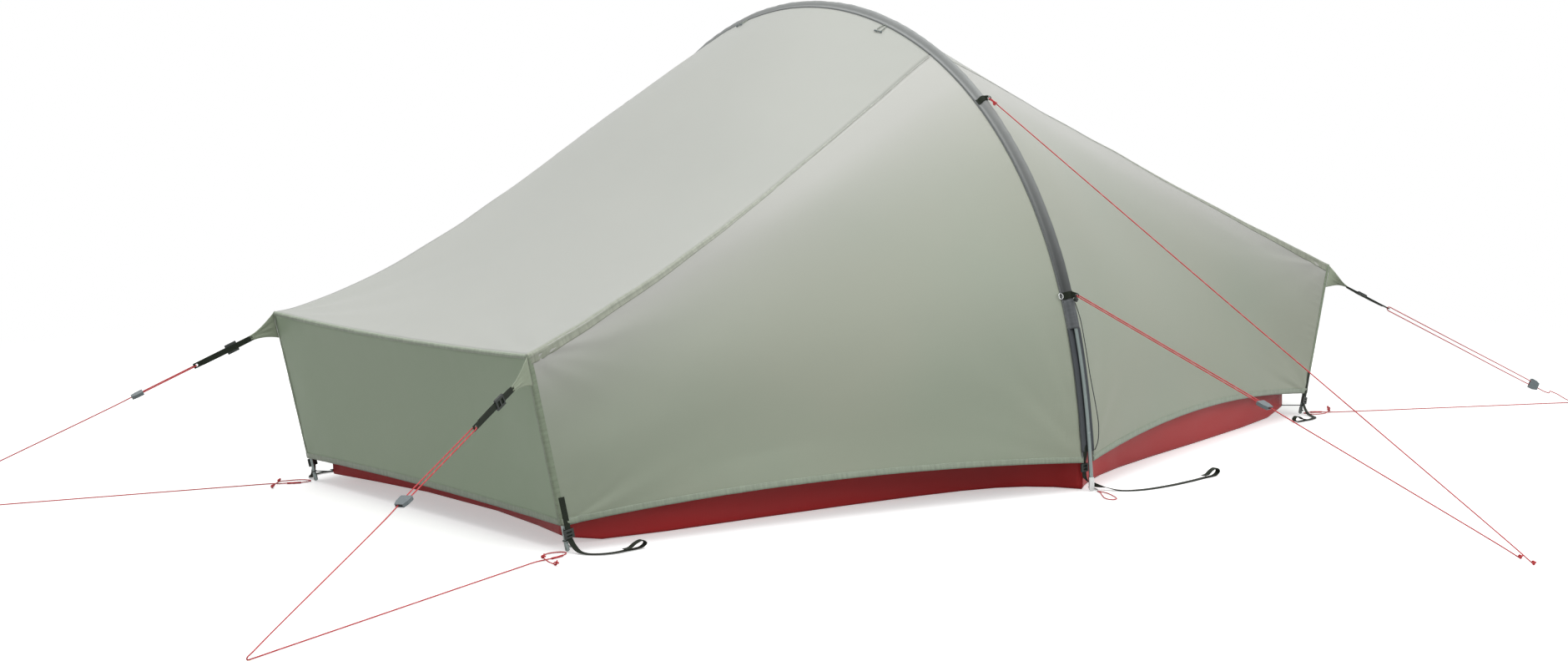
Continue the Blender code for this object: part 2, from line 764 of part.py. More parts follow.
def make_top_corners(webbing, plastic):
    for end, side, word in CORNERS:
        corner, way, width_way, across = corner_frame(end, side)
        down_edge = (edge_point(end, side, 0) - corner).normalized()
        base = corner + Vector((end, side, 0)) * TAB_STANDOFF
        tip = corner + way * TAB_LENGTH
        shares = (0, 0.25, 0.5, 0.75, 1)
        centres = [base.lerp(tip, share) for share in shares]
        sides = [down_edge.lerp(width_way, share).normalized() for share in shares]
        widths = [mix(TAB_HEIGHT, WEBBING_WIDTH, share * 1.1 if share < 1 else 1) for share in shares]
        for distance in (TOP_BUCKLE_DISTANCE, 0.135, 0.165, STRAP_LENGTH):
            centres.append(corner + way * distance)
            sides.append(width_way)
            widths.append(WEBBING_WIDTH)
        name = f"corner_strap_{word}"
        strap = ribbon(
            name, centres, sides, widths, WEBBING_THICKNESS, webbing, squared=False, crease=crease_strap
        )
        hole = corner + way * (STRAP_LENGTH - STRAP_HOLE_MARGIN)
        placement = frame_matrix(hole, way, width_way, across)
        cut(strap, placed_block(f"strap_hole_{word}", (*STRAP_HOLE, 0.01), placement, webbing))
        spot = corner + way * TOP_BUCKLE_DISTANCE
        make_buckle(f"corner_buckle_{word}", BUCKLE_LENGTH, BUCKLE_THICKNESS, spot, way, width_way, plastic)


def strand_points(hole, way, across, lock_distance):
    """Out of the lock, up to the hole, through it, and back through the lock, where they close up."""
    ready = [
        hole + way * (lock_distance + 0.006) + across * mix(STRAND_CLOSE, STRAND_SPREAD, 0.5),
        hole + way * (lock_distance - 0.020) + across * STRAND_SPREAD,
        hole + way * (lock_distance * 0.5) + across * STRAND_SPREAD,
        hole + way * 0.020 + across * STRAND_SPREAD,
        hole + way * 0.0075 + across * STRAND_SPREAD,
        hole + way * (CORD_IN_HOLE + 0.0014) + across * 0.0032,
        hole + way * CORD_IN_HOLE,
        hole + way * (CORD_IN_HOLE + 0.0014) - across * 0.0032,
        hole + way * 0.0075 - across * STRAND_SPREAD,
        hole + way * 0.020 - across * STRAND_SPREAD,
        hole + way * (lock_distance * 0.5) - across * STRAND_SPREAD,
        hole + way * (lock_distance - 0.020) - across * STRAND_SPREAD,
        hole + way * (lock_distance + 0.013) - across * STRAND_CLOSE,
        hole + way * (lock_distance + 0.050) - across * STRAND_CLOSE * 0.4,
    ]
    return ready, [2, 2, 2, 3, 3, 2, 2, 3, 3, 2, 2, 3, 2]


def ground_loop(foot, away, turn):
    """A tied loop of cord on the ground, by the foot of a strut: it goes round and over itself."""
    outline = (
        (0.150, 0.000, 0.0),
        (0.100, 0.001, 0.0),
        (0.066, 0.010, 0.0),
        (0.036, 0.014, 0.0),
        (0.0135, 0.006, 0.0),
        (0.0140, -0.006, 0.0),
        (0.036, -0.020, 0.0),
        (0.064, -0.015, 0.0008),
        (0.082, 0.003, 0.0036),
        (0.096, 0.024, 0.0014),
        (0.104, 0.048, 0.0),
    )
    return [foot + away * out + turn * aside + Z_AXIS * (CORD_REST + rise) for out, aside, rise in outline]


def make_corner_cords(cord_colour):
    for end, side, word, lock_distance in (
        (FRONT, NEAR, "front_near", FRONT_NEAR_LOCK),
        (FRONT, FAR, "front_far", FRONT_FAR_LOCK),
        (REAR, NEAR, "rear_near", REAR_NEAR_LOCK),
    ):
        corner, way, width_way, across = corner_frame(end, side)
        hole_distance = STRAP_LENGTH - STRAP_HOLE_MARGIN
        hole = corner + way * hole_distance
        peg = peg_of(end, side)
        points, counts = strand_points(hole, way, across, lock_distance - hole_distance)
        foot = strut_ends(end, side)[0]
        away = (peg - foot)
        away.z = 0
        away.normalize()
        turn = Z_AXIS.cross(away)
        points += [
            peg - way * 0.060 + Z_AXIS * 0.0065,
            peg - way * 0.012 + Z_AXIS * 0.0065,
            peg + away * 0.0025 + Z_AXIS * 0.0052,
            peg + away * 0.0020 + Z_AXIS * 0.0020,
            peg - away * 0.008 + Z_AXIS * CORD_REST,
            peg - away * 0.060 + Z_AXIS * CORD_REST,
        ]
        counts += [5, 2, 3, 2, 2, 2]
        loop = ground_loop(foot, away, turn)
        points += loop
        counts += [6] + [2] * (len(loop) - 1)
        cord(f"corner_cord_{word}", points, counts, CORD_DIAMETER, cord_colour)


def make_line_lock(name, spot, way, width_way, plastic):
    """A flat lock that two strands enter side by side: wide towards the tent, narrower towards the peg."""
    across = way.cross(width_way)
    rings = []
    for along, width in ((-0.5, 0.92), (-0.42, 1.0), (0.1, 0.97), (0.5, LOCK_TAIL_WIDTH / LOCK_WIDTH)):
        centre = spot + way * (along * LOCK_LENGTH)
        half = across * (width * LOCK_WIDTH / 2)
        rise = width_way * (LOCK_THICKNESS / 2)
        low, high = centre - rise, centre + rise
        rings.append([low - half, low + half, high + half, high - half])
    lock = loft(name, rings, plastic)
    size = (LOCK_LENGTH * 2, LOCK_CHANNEL[0], LOCK_CHANNEL[1])
    placement = frame_matrix(spot, way, across, -width_way)
    cut(lock, placed_block(f"{name}_channel", size, placement, plastic))
    put_origin(lock, spot)
    return lock


# Guy bands on the arch, and their cords

def band_frame(height, side):
    """The hole of a band's tab, the way to the arch peg, the arch's tangent and the way square to both."""
    distance = distance_at_height(height, side)
    peg = Vector((ARCH_PEG[0], ARCH_PEG[1] * -side, 0))
    root = on_arch(distance, SLEEVE_DEPTH + GAP + WEBBING_THICKNESS / 2)
    way = (peg - root).normalized()
    tangent = arch_tangent(distance)
    width_way = (tangent - way * tangent.dot(way)).normalized()
    across = way.cross(width_way)
    hole = root + arch_outward(distance) * BAND_TAB_RISE + way * BAND_TAB_LENGTH
    return distance, root, hole, way, width_way, across


def make_band(name, height, side, ring_side, webbing, metal):
    """Webbing over the sleeve, with a tab that carries a guy cord."""
    distance, root, hole, way, width_way, across = band_frame(height, side)
    tangent = arch_tangent(distance)
    lift = GAP + WEBBING_THICKNESS / 2
    outline = [(-SLEEVE_HALF_WIDTH, -SLEEVE_DEPTH + FABRIC + lift)]
    outline += [(-SLEEVE_SHOULDER - lift * 0.6, -SLEEVE_CROWN + lift)]
    outline += [(-SLEEVE_WAIST - lift, 0.0025 + lift * 0.5)]
    outline += [(-SLEEVE_CROWN - lift * 0.4, SLEEVE_DEPTH + lift)]
    outline += [(-x, outward) for x, outward in reversed(outline)]
    centres = [on_arch(distance, outward, x) for x, outward in outline]
    ways = [tangent] * len(centres)
    widths = [BAND_WIDTH] * len(centres)
    band = ribbon(name, centres, ways, widths, WEBBING_THICKNESS, webbing)
    tab_centres = [root - arch_outward(distance) * 0.0002, hole, hole + way * BAND_TAB_HOLE * 1.8]
    tab_ways = [tangent, width_way, width_way]
    tab_widths = [BAND_WIDTH - 0.001, BAND_TAB_WIDTH, BAND_TAB_WIDTH - 0.002]
    tab = ribbon(
        f"{name}_tab", tab_centres, tab_ways, tab_widths, WEBBING_THICKNESS, webbing, squared=False
    )
    hole_size = (2 * BAND_TAB_HOLE, 2 * BAND_TAB_HOLE, 0.01)
    placement = frame_matrix(hole, way, width_way, across)
    cut(tab, placed_block(f"{name}_hole", hole_size, placement, webbing))
    join(band, tab)
    if ring_side:
        middle = on_arch(distance, -0.0039, ring_side * (SLEEVE_HALF_WIDTH + 0.0059))
        join(band, ring_solid(f"{name}_ring", middle, X_AXIS * ring_side, tangent, metal))
    return band


def ring_solid(name, middle, first, second, metal, radius=RING_RADIUS):
    """A small wire ring, as a square tube turned round."""
    form = bmesh.new()
    third = first.cross(second)
    rows = []
    steps = 10
    for step in range(steps):
        turn = 2 * math.pi * step / steps
        out = first * math.cos(turn) + second * math.sin(turn)
        corners = [(-1, -1), (1, -1), (1, 1), (-1, 1)]
        rows.append([
            form.verts.new(middle + out * (radius + wide * RING_WIRE) + third * (high * RING_WIRE))
            for wide, high in corners
        ])
    for step in range(steps):
        low, high = rows[step], rows[(step + 1) % steps]
        for place in range(4):
            after = (place + 1) % 4
            form.faces.new((low[place], low[after], high[after], high[place]))
    bmesh.ops.recalc_face_normals(form, faces=form.faces[:])
    return mesh_object(name, form, metal)


def make_arch_cords(cord_colour):
    peg = Vector((*ARCH_PEG, 0))
    _, _, hole, way, _, across = band_frame(HIGH_BAND_HEIGHT, NEAR)
    points = [
        hole + way * 0.022 + across * 0.0034,
        hole + way * 0.008 + across * 0.0050,
        hole + way * (CORD_IN_HOLE + 0.0014) + across * 0.0032,
        hole + way * CORD_IN_HOLE,
        hole + way * (CORD_IN_HOLE + 0.0014) - across * 0.0032,
        hole + way * 0.010 - across * 0.0048,
        hole + way * 0.030 - across * 0.0012,
        hole + way * 0.080,
        hole.lerp(peg, 0.5),
        peg - way * 0.060 + Z_AXIS * 0.0030,
        peg - way * 0.020 + Z_AXIS * 0.0022,
        peg + Z_AXIS * CORD_REST,
    ]
    cord("arch_cord_high", points, [3, 3, 2, 2, 3, 3, 3, 6, 6, 2, 2], CORD_DIAMETER, cord_colour)
    _, _, hole, way, _, across = band_frame(MID_BAND_HEIGHT, NEAR)
    points, counts = strand_points(hole, way, across, MID_LOCK)
    beside = Vector((-0.0052, -0.0010, 0))
    points += [
        peg - way * 0.070 + beside + Z_AXIS * 0.0020,
        peg - way * 0.026 + beside + Z_AXIS * 0.0004,
    ]
    counts += [6, 3]
    points[-1].z = max(points[-1].z, CORD_REST)
    cord("arch_cord_mid", points, counts, CORD_DIAMETER, cord_colour)


def make_foot_loop(cord_colour):
    """The peg loop of the near arch foot, lying on the ground in front of it."""
    start = ARCH_HALF_SPAN + FOOT_BAR_OUT + FOOT_BAR[1] / 2 + GAP
    outline = (
        (-0.0017, 0.000), (-0.004, 0.009), (-0.014, 0.020), (-0.032, 0.040), (-0.048, 0.064),
        (-0.044, 0.078), (-0.030, 0.076), (-0.014, 0.054), (-0.001, 0.028), (0.0024, 0.012), (0.0017, 0.000),
    )
    points = [Vector((x, -start - out, CORD_REST)) for x, out in outline]
    cord("arch_foot_loop", points, [2] * (len(points) - 1), CORD_DIAMETER, cord_colour)


def make_puller(dark):
    """A thin cord that hangs from the lower guy band beside the pole, down to the hem."""
    start = distance_at_height(MID_BAND_HEIGHT) - BAND_WIDTH / 2 - GAP
    route = [
        (start, 0.0004, 0.0101),
        (start - 0.012, 0.0040, 0.0103),
        (start - 0.045, 0.0110, 0.0080),
        (start - 0.100, 0.0140, 0.0060),
        (start - 0.175, 0.0150, 0.0070),
        (start - 0.230, 0.0190, 0.0090),
        (start - 0.277, 0.0190, 0.0130),
        (start - 0.312, 0.0100, 0.0170),
        (start - 0.330, -0.0020, 0.0195),
    ]
    points = [on_arch(distance, outward, x) for distance, outward, x in route]
    cord("puller_cord", points, [3, 4, 5, 5, 5, 5, 4, 3], PULLER_DIAMETER, dark)


# Foot straps and buckles

def tail_loop(origin, ahead, across):
    """The webbing's end, doubled back above itself as a standing eye."""
    outline = (
        (0.000, 0.0013), (0.020, 0.0013), (0.036, 0.0030), (0.045, 0.0094),
        (0.037, 0.0158), (0.022, 0.0128), (0.007, 0.0052), (-0.006, 0.0040),
    )
    centres = [origin + ahead * along + Z_AXIS * height for along, height in outline]
    return centres, [across] * len(centres)


def make_foot_strap(name, centres, sides, counts, buckle_at, loop_ahead, webbing, plastic):
    loop_centres, loop_sides = tail_loop(Vector((centres[-1].x, centres[-1].y, 0)), loop_ahead, sides[-1])
    every = centres[:-1] + loop_centres
    every_side = sides[:-1] + loop_sides
    every_count = counts + [2] * (len(loop_centres) - 1)
    path = curve_through(every, every_count)
    smooth_sides = ways_through(every_side, every_count)
    widths = [WEBBING_WIDTH] * len(path)
    ribbon(name, path, smooth_sides, widths, WEBBING_THICKNESS, webbing, crease=crease_strap)
    place, way, width_way = buckle_at
    buckle = name.replace("strap", "buckle")
    make_buckle(buckle, FOOT_BUCKLE_LENGTH, FOOT_BUCKLE_THICKNESS, place, way, width_way, plastic)


def make_corner_foot_straps(webbing, plastic):
    """Sewn by the corner, down through the buckle to the strut's lug, then along the ground."""
    for end, side, word in CORNERS:
        surface = beside_door_surface if (end, side) == (FRONT, FAR) else side_surface(end, side)
        inset = 1 - STRAP_EDGE_INSET / FOOT_X
        low = surface(1.0, inset)
        high = surface(1 - FOOT_STRAP_RISE / (TOP_Z - HEM_Z), inset)
        down = (low - high).normalized()
        along_hem = (surface(0.9, inset - 0.01) - surface(0.9, inset)).normalized()
        normal = down.cross(along_hem).normalized()
        if normal.y * side < 0:
            normal = -normal
        lift = normal * (FABRIC + GAP * 2 + WEBBING_THICKNESS / 2)
        foot = strut_ends(end, side)[0]
        inward = Vector((-end, 0, 0))
        outward = Vector((0, side, 0))
        buckle_spot = low + lift + down * FOOT_BUCKLE_DROP
        reach = down * (FOOT_BUCKLE_LENGTH / 2 + 0.0015)
        knee = Vector((low.x, foot.y, 0)) + inward * 0.008 + outward * 0.0150
        centres = [
            high + lift,
            low + lift,
            buckle_spot - reach,
            buckle_spot + reach,
            knee + outward * 0.010 + inward * 0.004 + Z_AXIS * 0.0055,
            knee + outward * 0.026 + inward * 0.010 + Z_AXIS * 0.0013,
            knee + outward * 0.046 + inward * 0.026 + Z_AXIS * 0.0013,
            knee + outward * 0.056 + inward * 0.054 + Z_AXIS * 0.0013,
            knee + outward * 0.056 + inward * 0.084 + Z_AXIS * 0.0013,
        ]
        sides = [along_hem] * 4 + [inward, inward - outward * 0.4, inward - outward, -outward, -outward]
        if Z_AXIS.cross(inward).dot(outward) > 0:
            sides = [-way for way in sides]
        counts = [3, 1, 1, 3, 2, 2, 2, 2]
        width_way = (along_hem - down * along_hem.dot(down)).normalized()
        buckle_at = (buckle_spot, down, width_way)
        name = f"foot_strap_{word}"
        make_foot_strap(name, centres, sides, counts, buckle_at, inward, webbing, plastic)


def make_arch_foot_straps(webbing, plastic):
    """Near, the strap passes behind the pole. Far, it comes down clear of it and of the door."""
    rest = -SLEEVE_DEPTH + BAND_THICKNESS + GAP + WEBBING_THICKNESS / 2
    for side, word in ((NEAR, "near"), (FAR, "far")):
        x = side * 0.0088
        outward = Vector((0, side, 0))
        foot = outward * ARCH_HALF_SPAN
        heights = ((0.118, rest), (0.079, rest), (0.062, -0.0098), (0.040, -0.0098))
        centres = [on_arch(distance_at_height(height, side), out, x) for height, out in heights]
        down = (centres[3] - centres[2]).normalized()
        buckle_spot = centres[2].lerp(centres[3], 0.5)
        slant = (X_AXIS - Z_AXIS * 0.8).normalized()
        if side == NEAR:
            route = ((0.030, -0.0100, -0.0080), (0.020, -0.0110, 0.0010), (0.0130, -0.0100, 0.0150))
            turned = [X_AXIS, slant, (X_AXIS * 0.3 - Z_AXIS).normalized()]
        else:
            route = ((0.030, -0.0085, 0.0130), (0.020, -0.0075, 0.0165), (0.0130, -0.0040, 0.0230))
            turned = [X_AXIS, (X_AXIS - Z_AXIS * 0.3).normalized(), slant]
        centres += [on_arch(distance_at_height(height, side), out, at) for height, out, at in route]
        centres += [
            foot + X_AXIS * 0.030 + outward * 0.012 + Z_AXIS * 0.0070,
            foot + X_AXIS * 0.048 + outward * 0.038 + Z_AXIS * 0.0013,
            foot + X_AXIS * 0.085 + outward * 0.064 + Z_AXIS * 0.0013,
            foot + X_AXIS * 0.160 + outward * 0.076 + Z_AXIS * 0.0013,
            foot + X_AXIS * 0.240 + outward * 0.076 + Z_AXIS * 0.0013,
            foot + X_AXIS * 0.298 + outward * 0.072 + Z_AXIS * 0.0013,
        ]
        flat = [(X_AXIS - outward * 0.5 - Z_AXIS * 0.3).normalized(), (X_AXIS - outward).normalized()]
        flat += [(X_AXIS * 0.3 - outward).normalized(), -outward, -outward, -outward]
        sides = [X_AXIS] * 4 + turned + flat
        counts = [2, 2, 1, 2, 2, 2, 2, 2, 3, 3, 3, 2]
        buckle_at = (buckle_spot, down, X_AXIS)
        name = f"foot_strap_arch_{word}"
        make_foot_strap(name, centres, sides, counts, buckle_at, X_AXIS, webbing, plastic)


# Toggles and the zip slider

def make_toggle(name, y, elastic):
    """An elastic loop with a bar, lying down the roof from the sleeve's front edge."""
    distance = distance_at_y(y)
    share = (distance - SEAM_DISTANCE) / (ARCH_LENGTH - 2 * SEAM_DISTANCE)
    surface = roof_surface(FRONT)
    root = surface(share, 0.0)
    ahead = (surface(share, 0.05) - root).normalized()
    across = arch_tangent(distance)
    across = (across - ahead * across.dot(ahead)).normalized()
    up = ahead.cross(across)
    if up.z < 0:
        up = -up
    base = root + ahead * 0.0005 + up * (FABRIC + GAP + TOGGLE_CORD_RADIUS)
    ahead = (ahead + up * ((TOGGLE_BAR_RADIUS - TOGGLE_CORD_RADIUS + GAP) / TOGGLE_LENGTH)).normalized()
    reach = TOGGLE_LENGTH
    outline = ((0, -0.45), (0.35, -1), (0.85, -1), (1, 0), (0.85, 1), (0.35, 1), (0, 0.45))
    half = TOGGLE_LOOP_HALF
    points = [base + ahead * (along * reach) + across * (aside * half) for along, aside in outline]
    path = curve_through(points, [2] * (len(points) - 1))
    rings = []
    for place, centre in enumerate(path):
        tangent = (path[min(place + 1, len(path) - 1)] - path[max(place - 1, 0)]).normalized()
        rings.append(circle_ring(centre, up, tangent.cross(up), TOGGLE_CORD_RADIUS, 6))
    toggle = loft(name, rings, elastic)
    middle = base + ahead * (reach - 0.001)
    bar = []
    for along in (-0.5, 0.5):
        bar_end = middle + across * (along * TOGGLE_BAR_LENGTH)
        bar.append(circle_ring(bar_end, ahead, up, TOGGLE_BAR_RADIUS, 8))
    join(toggle, loft(f"{name}_bar", bar, elastic))
    put_origin(toggle, base)


def on_door(distance, x):
    """A point of the door's zip, and the way square to the cloth there."""
    down = (ARCH_LENGTH - distance - SEAM_DISTANCE) / (HEM_DISTANCE - SEAM_DISTANCE)
    along = (-x - FLY_EDGE_X) / FRONT_TOP_X
    spot = door_surface(down, along)
    along_step = door_surface(down, along + 0.01) - spot
    up_step = door_surface(down - 0.01, along) - spot
    square = along_step.cross(up_step).normalized()
    return spot, square if square.y > 0 else -square


def make_slider(metal):
    """It rides the door's zip, on the door's outer face, beside the sleeve."""
    x = -(FLY_EDGE_X + SLIDER_EDGE_INSET)
    start = distance_at_height(SLIDER_START_HEIGHT, FAR)
    rise = FABRIC + GAP + SLIDER_SIZE[2] / 2
    surface, square = on_door(start, x)
    spot = surface + square * rise
    up_zip = (on_door(start - 0.004, x)[0] - surface).normalized()
    across = up_zip.cross(square).normalized()
    placement = frame_matrix(spot, across, up_zip, square)
    slider = placed_block("zip_slider", SLIDER_SIZE, placement, metal, bevel=0.0007)
    tab_spot = placement @ Matrix.Translation((0, -PULL_TAB[1] / 2, SLIDER_SIZE[2] / 2 - 0.0002))
    join(slider, placed_block("zip_slider_tab", PULL_TAB, tab_spot, metal))
    # its origin is the centre of the circle through its start and its finish that touches the zip there
    surface, square = on_door(start - SLIDER_TRAVEL, x)
    end_spot = surface + square * rise
    before = on_door(start - SLIDER_TRAVEL + 0.004, x)[0]
    along = (surface - before).normalized()
    normal = Vector((0, along.z, -along.y))
    span = spot - end_spot
    span.x = 0
    radius = span.length_squared / (-2 * span.dot(normal))
    put_origin(slider, end_spot - normal * radius)


# Inner tent

def floor_wall_line(x):
    """The near edge of the inner tent without the peak at the arch's foot."""
    share = min(1.0, abs(x) / FLOOR_HALF_LENGTH)
    if x < 0:
        return mix(FLOOR_MIDDLE_Y, FLOOR_NEAR_Y, share ** FLOOR_FRONT_POWER)
    return mix(FLOOR_REAR_MIDDLE_Y, FLOOR_NEAR_Y, share ** FLOOR_REAR_POWER)


def floor_near_edge(x):
    reach, middle = (FLOOR_CUSP_FRONT, FLOOR_MIDDLE_Y) if x < 0 else (FLOOR_CUSP_REAR, FLOOR_REAR_MIDDLE_Y)
    return floor_wall_line(x) + (FLOOR_CUSP_Y - middle) * math.exp(-abs(x) / reach)


def floor_far_edge(x):
    return FLOOR_FAR_Y + FLOOR_FAR_BULGE * (1 - (x / FLOOR_HALF_LENGTH) ** 2)


NEAR_STEPS = (-1, -0.93, -0.8, -0.6, -0.42, -0.28, -0.18, -0.11, -0.06, -0.025)
NEAR_STEPS += (0, 0.03, 0.07, 0.13, 0.22, 0.36, 0.55, 0.78, 0.92, 1)
FAR_STEPS = (1, 0.93, 0.75, 0.5, 0.25, 0, -0.25, -0.5, -0.75, -0.93, -1)
END_SHARES = (0.15, 0.35, 0.65, 0.85)


def floor_outline(inset, height, smooth_near=False):
    """The floor's edge, drawn in by inset. Its corners are held up a little."""
    shrink = (FLOOR_HALF_LENGTH - inset) / FLOOR_HALF_LENGTH
    ring = []
    for steps, edge, way in ((NEAR_STEPS, floor_near_edge, 1), (FAR_STEPS, floor_far_edge, -1)):
        for step in steps:
            x = step * FLOOR_HALF_LENGTH
            y = edge(x) + way * inset
            if smooth_near and way == 1:
                y = max(y, floor_wall_line(x) + inset)
            away = (1 - abs(step)) * FLOOR_HALF_LENGTH
            lift = FLOOR_CORNER_LIFT * max(0.0, 1 - away / FLOOR_CORNER_REACH) ** 2
            ring.append(Vector((x * shrink, y, height + lift)))
        corner = ring[-1]
        next_y = (floor_far_edge(x) - inset) if way == 1 else (floor_near_edge(-FLOOR_HALF_LENGTH) + inset)
        for share in END_SHARES:
            lift = mix(FLOOR_END_LIFT, FLOOR_CORNER_LIFT, (1 - bow(share)) ** 2)
            ring.append(Vector((
                corner.x - math.copysign(FLOOR_END_BOW * bow(share), corner.x),
                mix(corner.y, next_y, share),
                height + lift,
            )))
    return ring


def make_floor(cloth):
    """A tub: a flat floor whose edge turns up into a low wall."""
    flat = [Vector((point.x, point.y, 0)) for point in floor_outline(FLOOR_RIM, 0.0, smooth_near=True)]
    outer = floor_outline(0.0, 0.0)
    inner = floor_outline(FLOOR_THICKNESS, FLOOR_THICKNESS)
    rings = [
        flat,
        outer,
        [Vector((point.x, point.y, TUB_HEIGHT)) for point in outer],
        [Vector((point.x, point.y, TUB_HEIGHT)) for point in inner],
        inner,
        [point + Z_AXIS * FLOOR_THICKNESS for point in flat],
    ]
    floor = loft("inner_floor", rings, cloth, crease=crease_rim)
    for end, side, word in CORNERS:
        hook_to_strut(floor, end, side, word, cloth)


def hook_to_strut(floor, end, side, word, cloth):
    """A short elastic at a corner of the floor, with its eye round the strut."""
    foot, top = strut_ends(end, side)
    way = (top - foot).normalized()
    eye = foot + way * CORNER_ELASTIC_HEIGHT
    edge = floor_near_edge if side == NEAR else floor_far_edge
    x = end * (FLOOR_HALF_LENGTH - CORNER_ELASTIC_ASIDE)
    corner = Vector((x, edge(x), eye.z))
    out = corner - eye
    out = (out - way * out.dot(way)).normalized()
    radius = STRUT_RADIUS + GAP + RING_WIRE
    join(floor, ring_solid(f"floor_eye_{word}", eye, out, way.cross(out), cloth, radius))
    start = eye + out * radius
    along = (corner - start).normalized()
    across = Z_AXIS.cross(along).normalized()
    reach = (start, corner + along * CORNER_ELASTIC_IN_FLOOR)
    rings = [circle_ring(spot, across, along.cross(across), CORNER_ELASTIC_RADIUS, 8) for spot in reach]
    join(floor, loft(f"floor_elastic_{word}", rings, cloth))


def roof_height(x):
    """The underside of the roof above the tent's middle line, x metres from the arch."""
    end = FRONT if x < 0 else REAR
    return roof_surface(end)(0.5, min(abs(x) / FRONT_TOP_X, 1.0)).z


def canopy_surface(u, v):
    """u goes round from the near wall over the top to the far wall, and v from the front to the rear."""
    inset = 0.004
    last = FLOOR_HALF_LENGTH - inset
    along = mix(-CANOPY_END_SHARE, CANOPY_END_SHARE, v)
    flattened = abs(along) > 1.0001
    x = max(-1.0, min(1.0, along)) * last
    if flattened:
        x += math.copysign(0.003, along)
    near = max(floor_wall_line(x), FLOOR_MIDDLE_Y) + inset
    far = floor_far_edge(min(abs(x), FLOOR_HALF_LENGTH)) - inset
    base = TUB_HEIGHT + GAP
    top = roof_height(x) - CANOPY_UNDER_ROOF
    turn = math.pi * (1 - u)
    wide = math.copysign(abs(math.cos(turn)) ** (2 / CANOPY_POWER), math.cos(turn))
    high = abs(math.sin(turn)) ** (2 / CANOPY_POWER)
    y = mix(near, far, (wide + 1) / 2)
    z = base if flattened else base + (top - base) * high
    return Vector((x, y, z))


def keep_canopy(u, v):
    along = mix(-CANOPY_END_SHARE, CANOPY_END_SHARE, v) * FLOOR_HALF_LENGTH
    in_doorway = DOORWAY_FRONT_X < along < DOORWAY_REAR_X and 0.72 < u
    return not in_doorway


def make_canopy(cloth):
    sheet("inner_canopy", 14, 15, canopy_surface, Z_AXIS, CANOPY_THICKNESS, cloth, keep_canopy, weld=0.0004)


def main():
    clear_scene()
    fly_green = material("sage_ripstop", (0.40, 0.43, 0.36), 0.62)
    door_green = material("door_ripstop", (0.38, 0.41, 0.34), 0.62)
    sleeve_grey = material("grey_sleeve_cloth", (0.16, 0.17, 0.17), 0.70)
    floor_red = material("red_groundsheet", (0.20, 0.015, 0.018), 0.48)
    inner_cream = material("inner_cloth", (0.62, 0.58, 0.46), 0.75)
    pole_alloy = material("pole_alloy", (0.20, 0.24, 0.23), 0.34, 1.0)
    bright_metal = material("bright_alloy", (0.62, 0.63, 0.62), 0.28, 1.0)
    dark_webbing = material("dark_webbing", (0.018, 0.028, 0.022), 0.80)
    dark_plastic = material("dark_plastic", (0.030, 0.040, 0.038), 0.42)
    lock_plastic = material("lock_plastic", (0.15, 0.18, 0.18), 0.45)
    red_cord = material("red_cord", (0.55, 0.07, 0.06), 0.65)
    dark_cord = material("dark_cord", (0.02, 0.025, 0.02), 0.70)
    toggle_grey = material("toggle_elastic", (0.22, 0.25, 0.20), 0.60)

    make_fly(fly_green, door_green)
    make_sleeve(sleeve_grey)
    make_pole(pole_alloy)
    make_arch_feet(bright_metal)
    make_struts(bright_metal)
    make_top_corners(dark_webbing, dark_plastic)
    make_corner_cords(red_cord)
    for end, side, word, distance in (
        (FRONT, NEAR, "front_near", FRONT_NEAR_LOCK),
        (FRONT, FAR, "front_far", FRONT_FAR_LOCK),
        (REAR, NEAR, "rear_near", REAR_NEAR_LOCK),
    ):
        corner, way, width_way, _ = corner_frame(end, side)
        make_line_lock(f"line_lock_{word}", corner + way * distance, way, width_way, lock_plastic)
    _, _, hole, way, width_way, _ = band_frame(MID_BAND_HEIGHT, NEAR)
    make_line_lock("line_lock_arch", hole + way * MID_LOCK, way, width_way, lock_plastic)
    for side, word in ((NEAR, "near"), (FAR, "far")):
        make_band(f"arch_band_high_{word}", HIGH_BAND_HEIGHT, side, 0, dark_webbing, bright_metal)
        make_band(f"arch_band_mid_{word}", MID_BAND_HEIGHT, side, side, dark_webbing, bright_metal)
    make_arch_cords(red_cord)
    make_foot_loop(red_cord)
    make_puller(dark_cord)
    make_corner_foot_straps(dark_webbing, dark_plastic)
    make_arch_foot_straps(dark_webbing, dark_plastic)
    make_toggle("toggle_near", TOGGLE_NEAR_Y, toggle_grey)
    make_toggle("toggle_far", TOGGLE_FAR_Y, toggle_grey)
    make_slider(bright_metal)
    make_floor(floor_red)
    make_canopy(inner_cream)


main()
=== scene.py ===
"""The looks of a pitched trekking tent with one arch pole across its middle.

Metres, +Z up. The arch stands in the plane x = 0, the front end is towards -X and the near side
towards -Y. "end" is -1 for the front and +1 for the rear, and "side" is -1 for the near side and
+1 for the far side, which has the door.
"""

import bisect
import math
from collections import namedtuple

import bmesh
import bpy
from mathutils import Matrix, Vector, noise


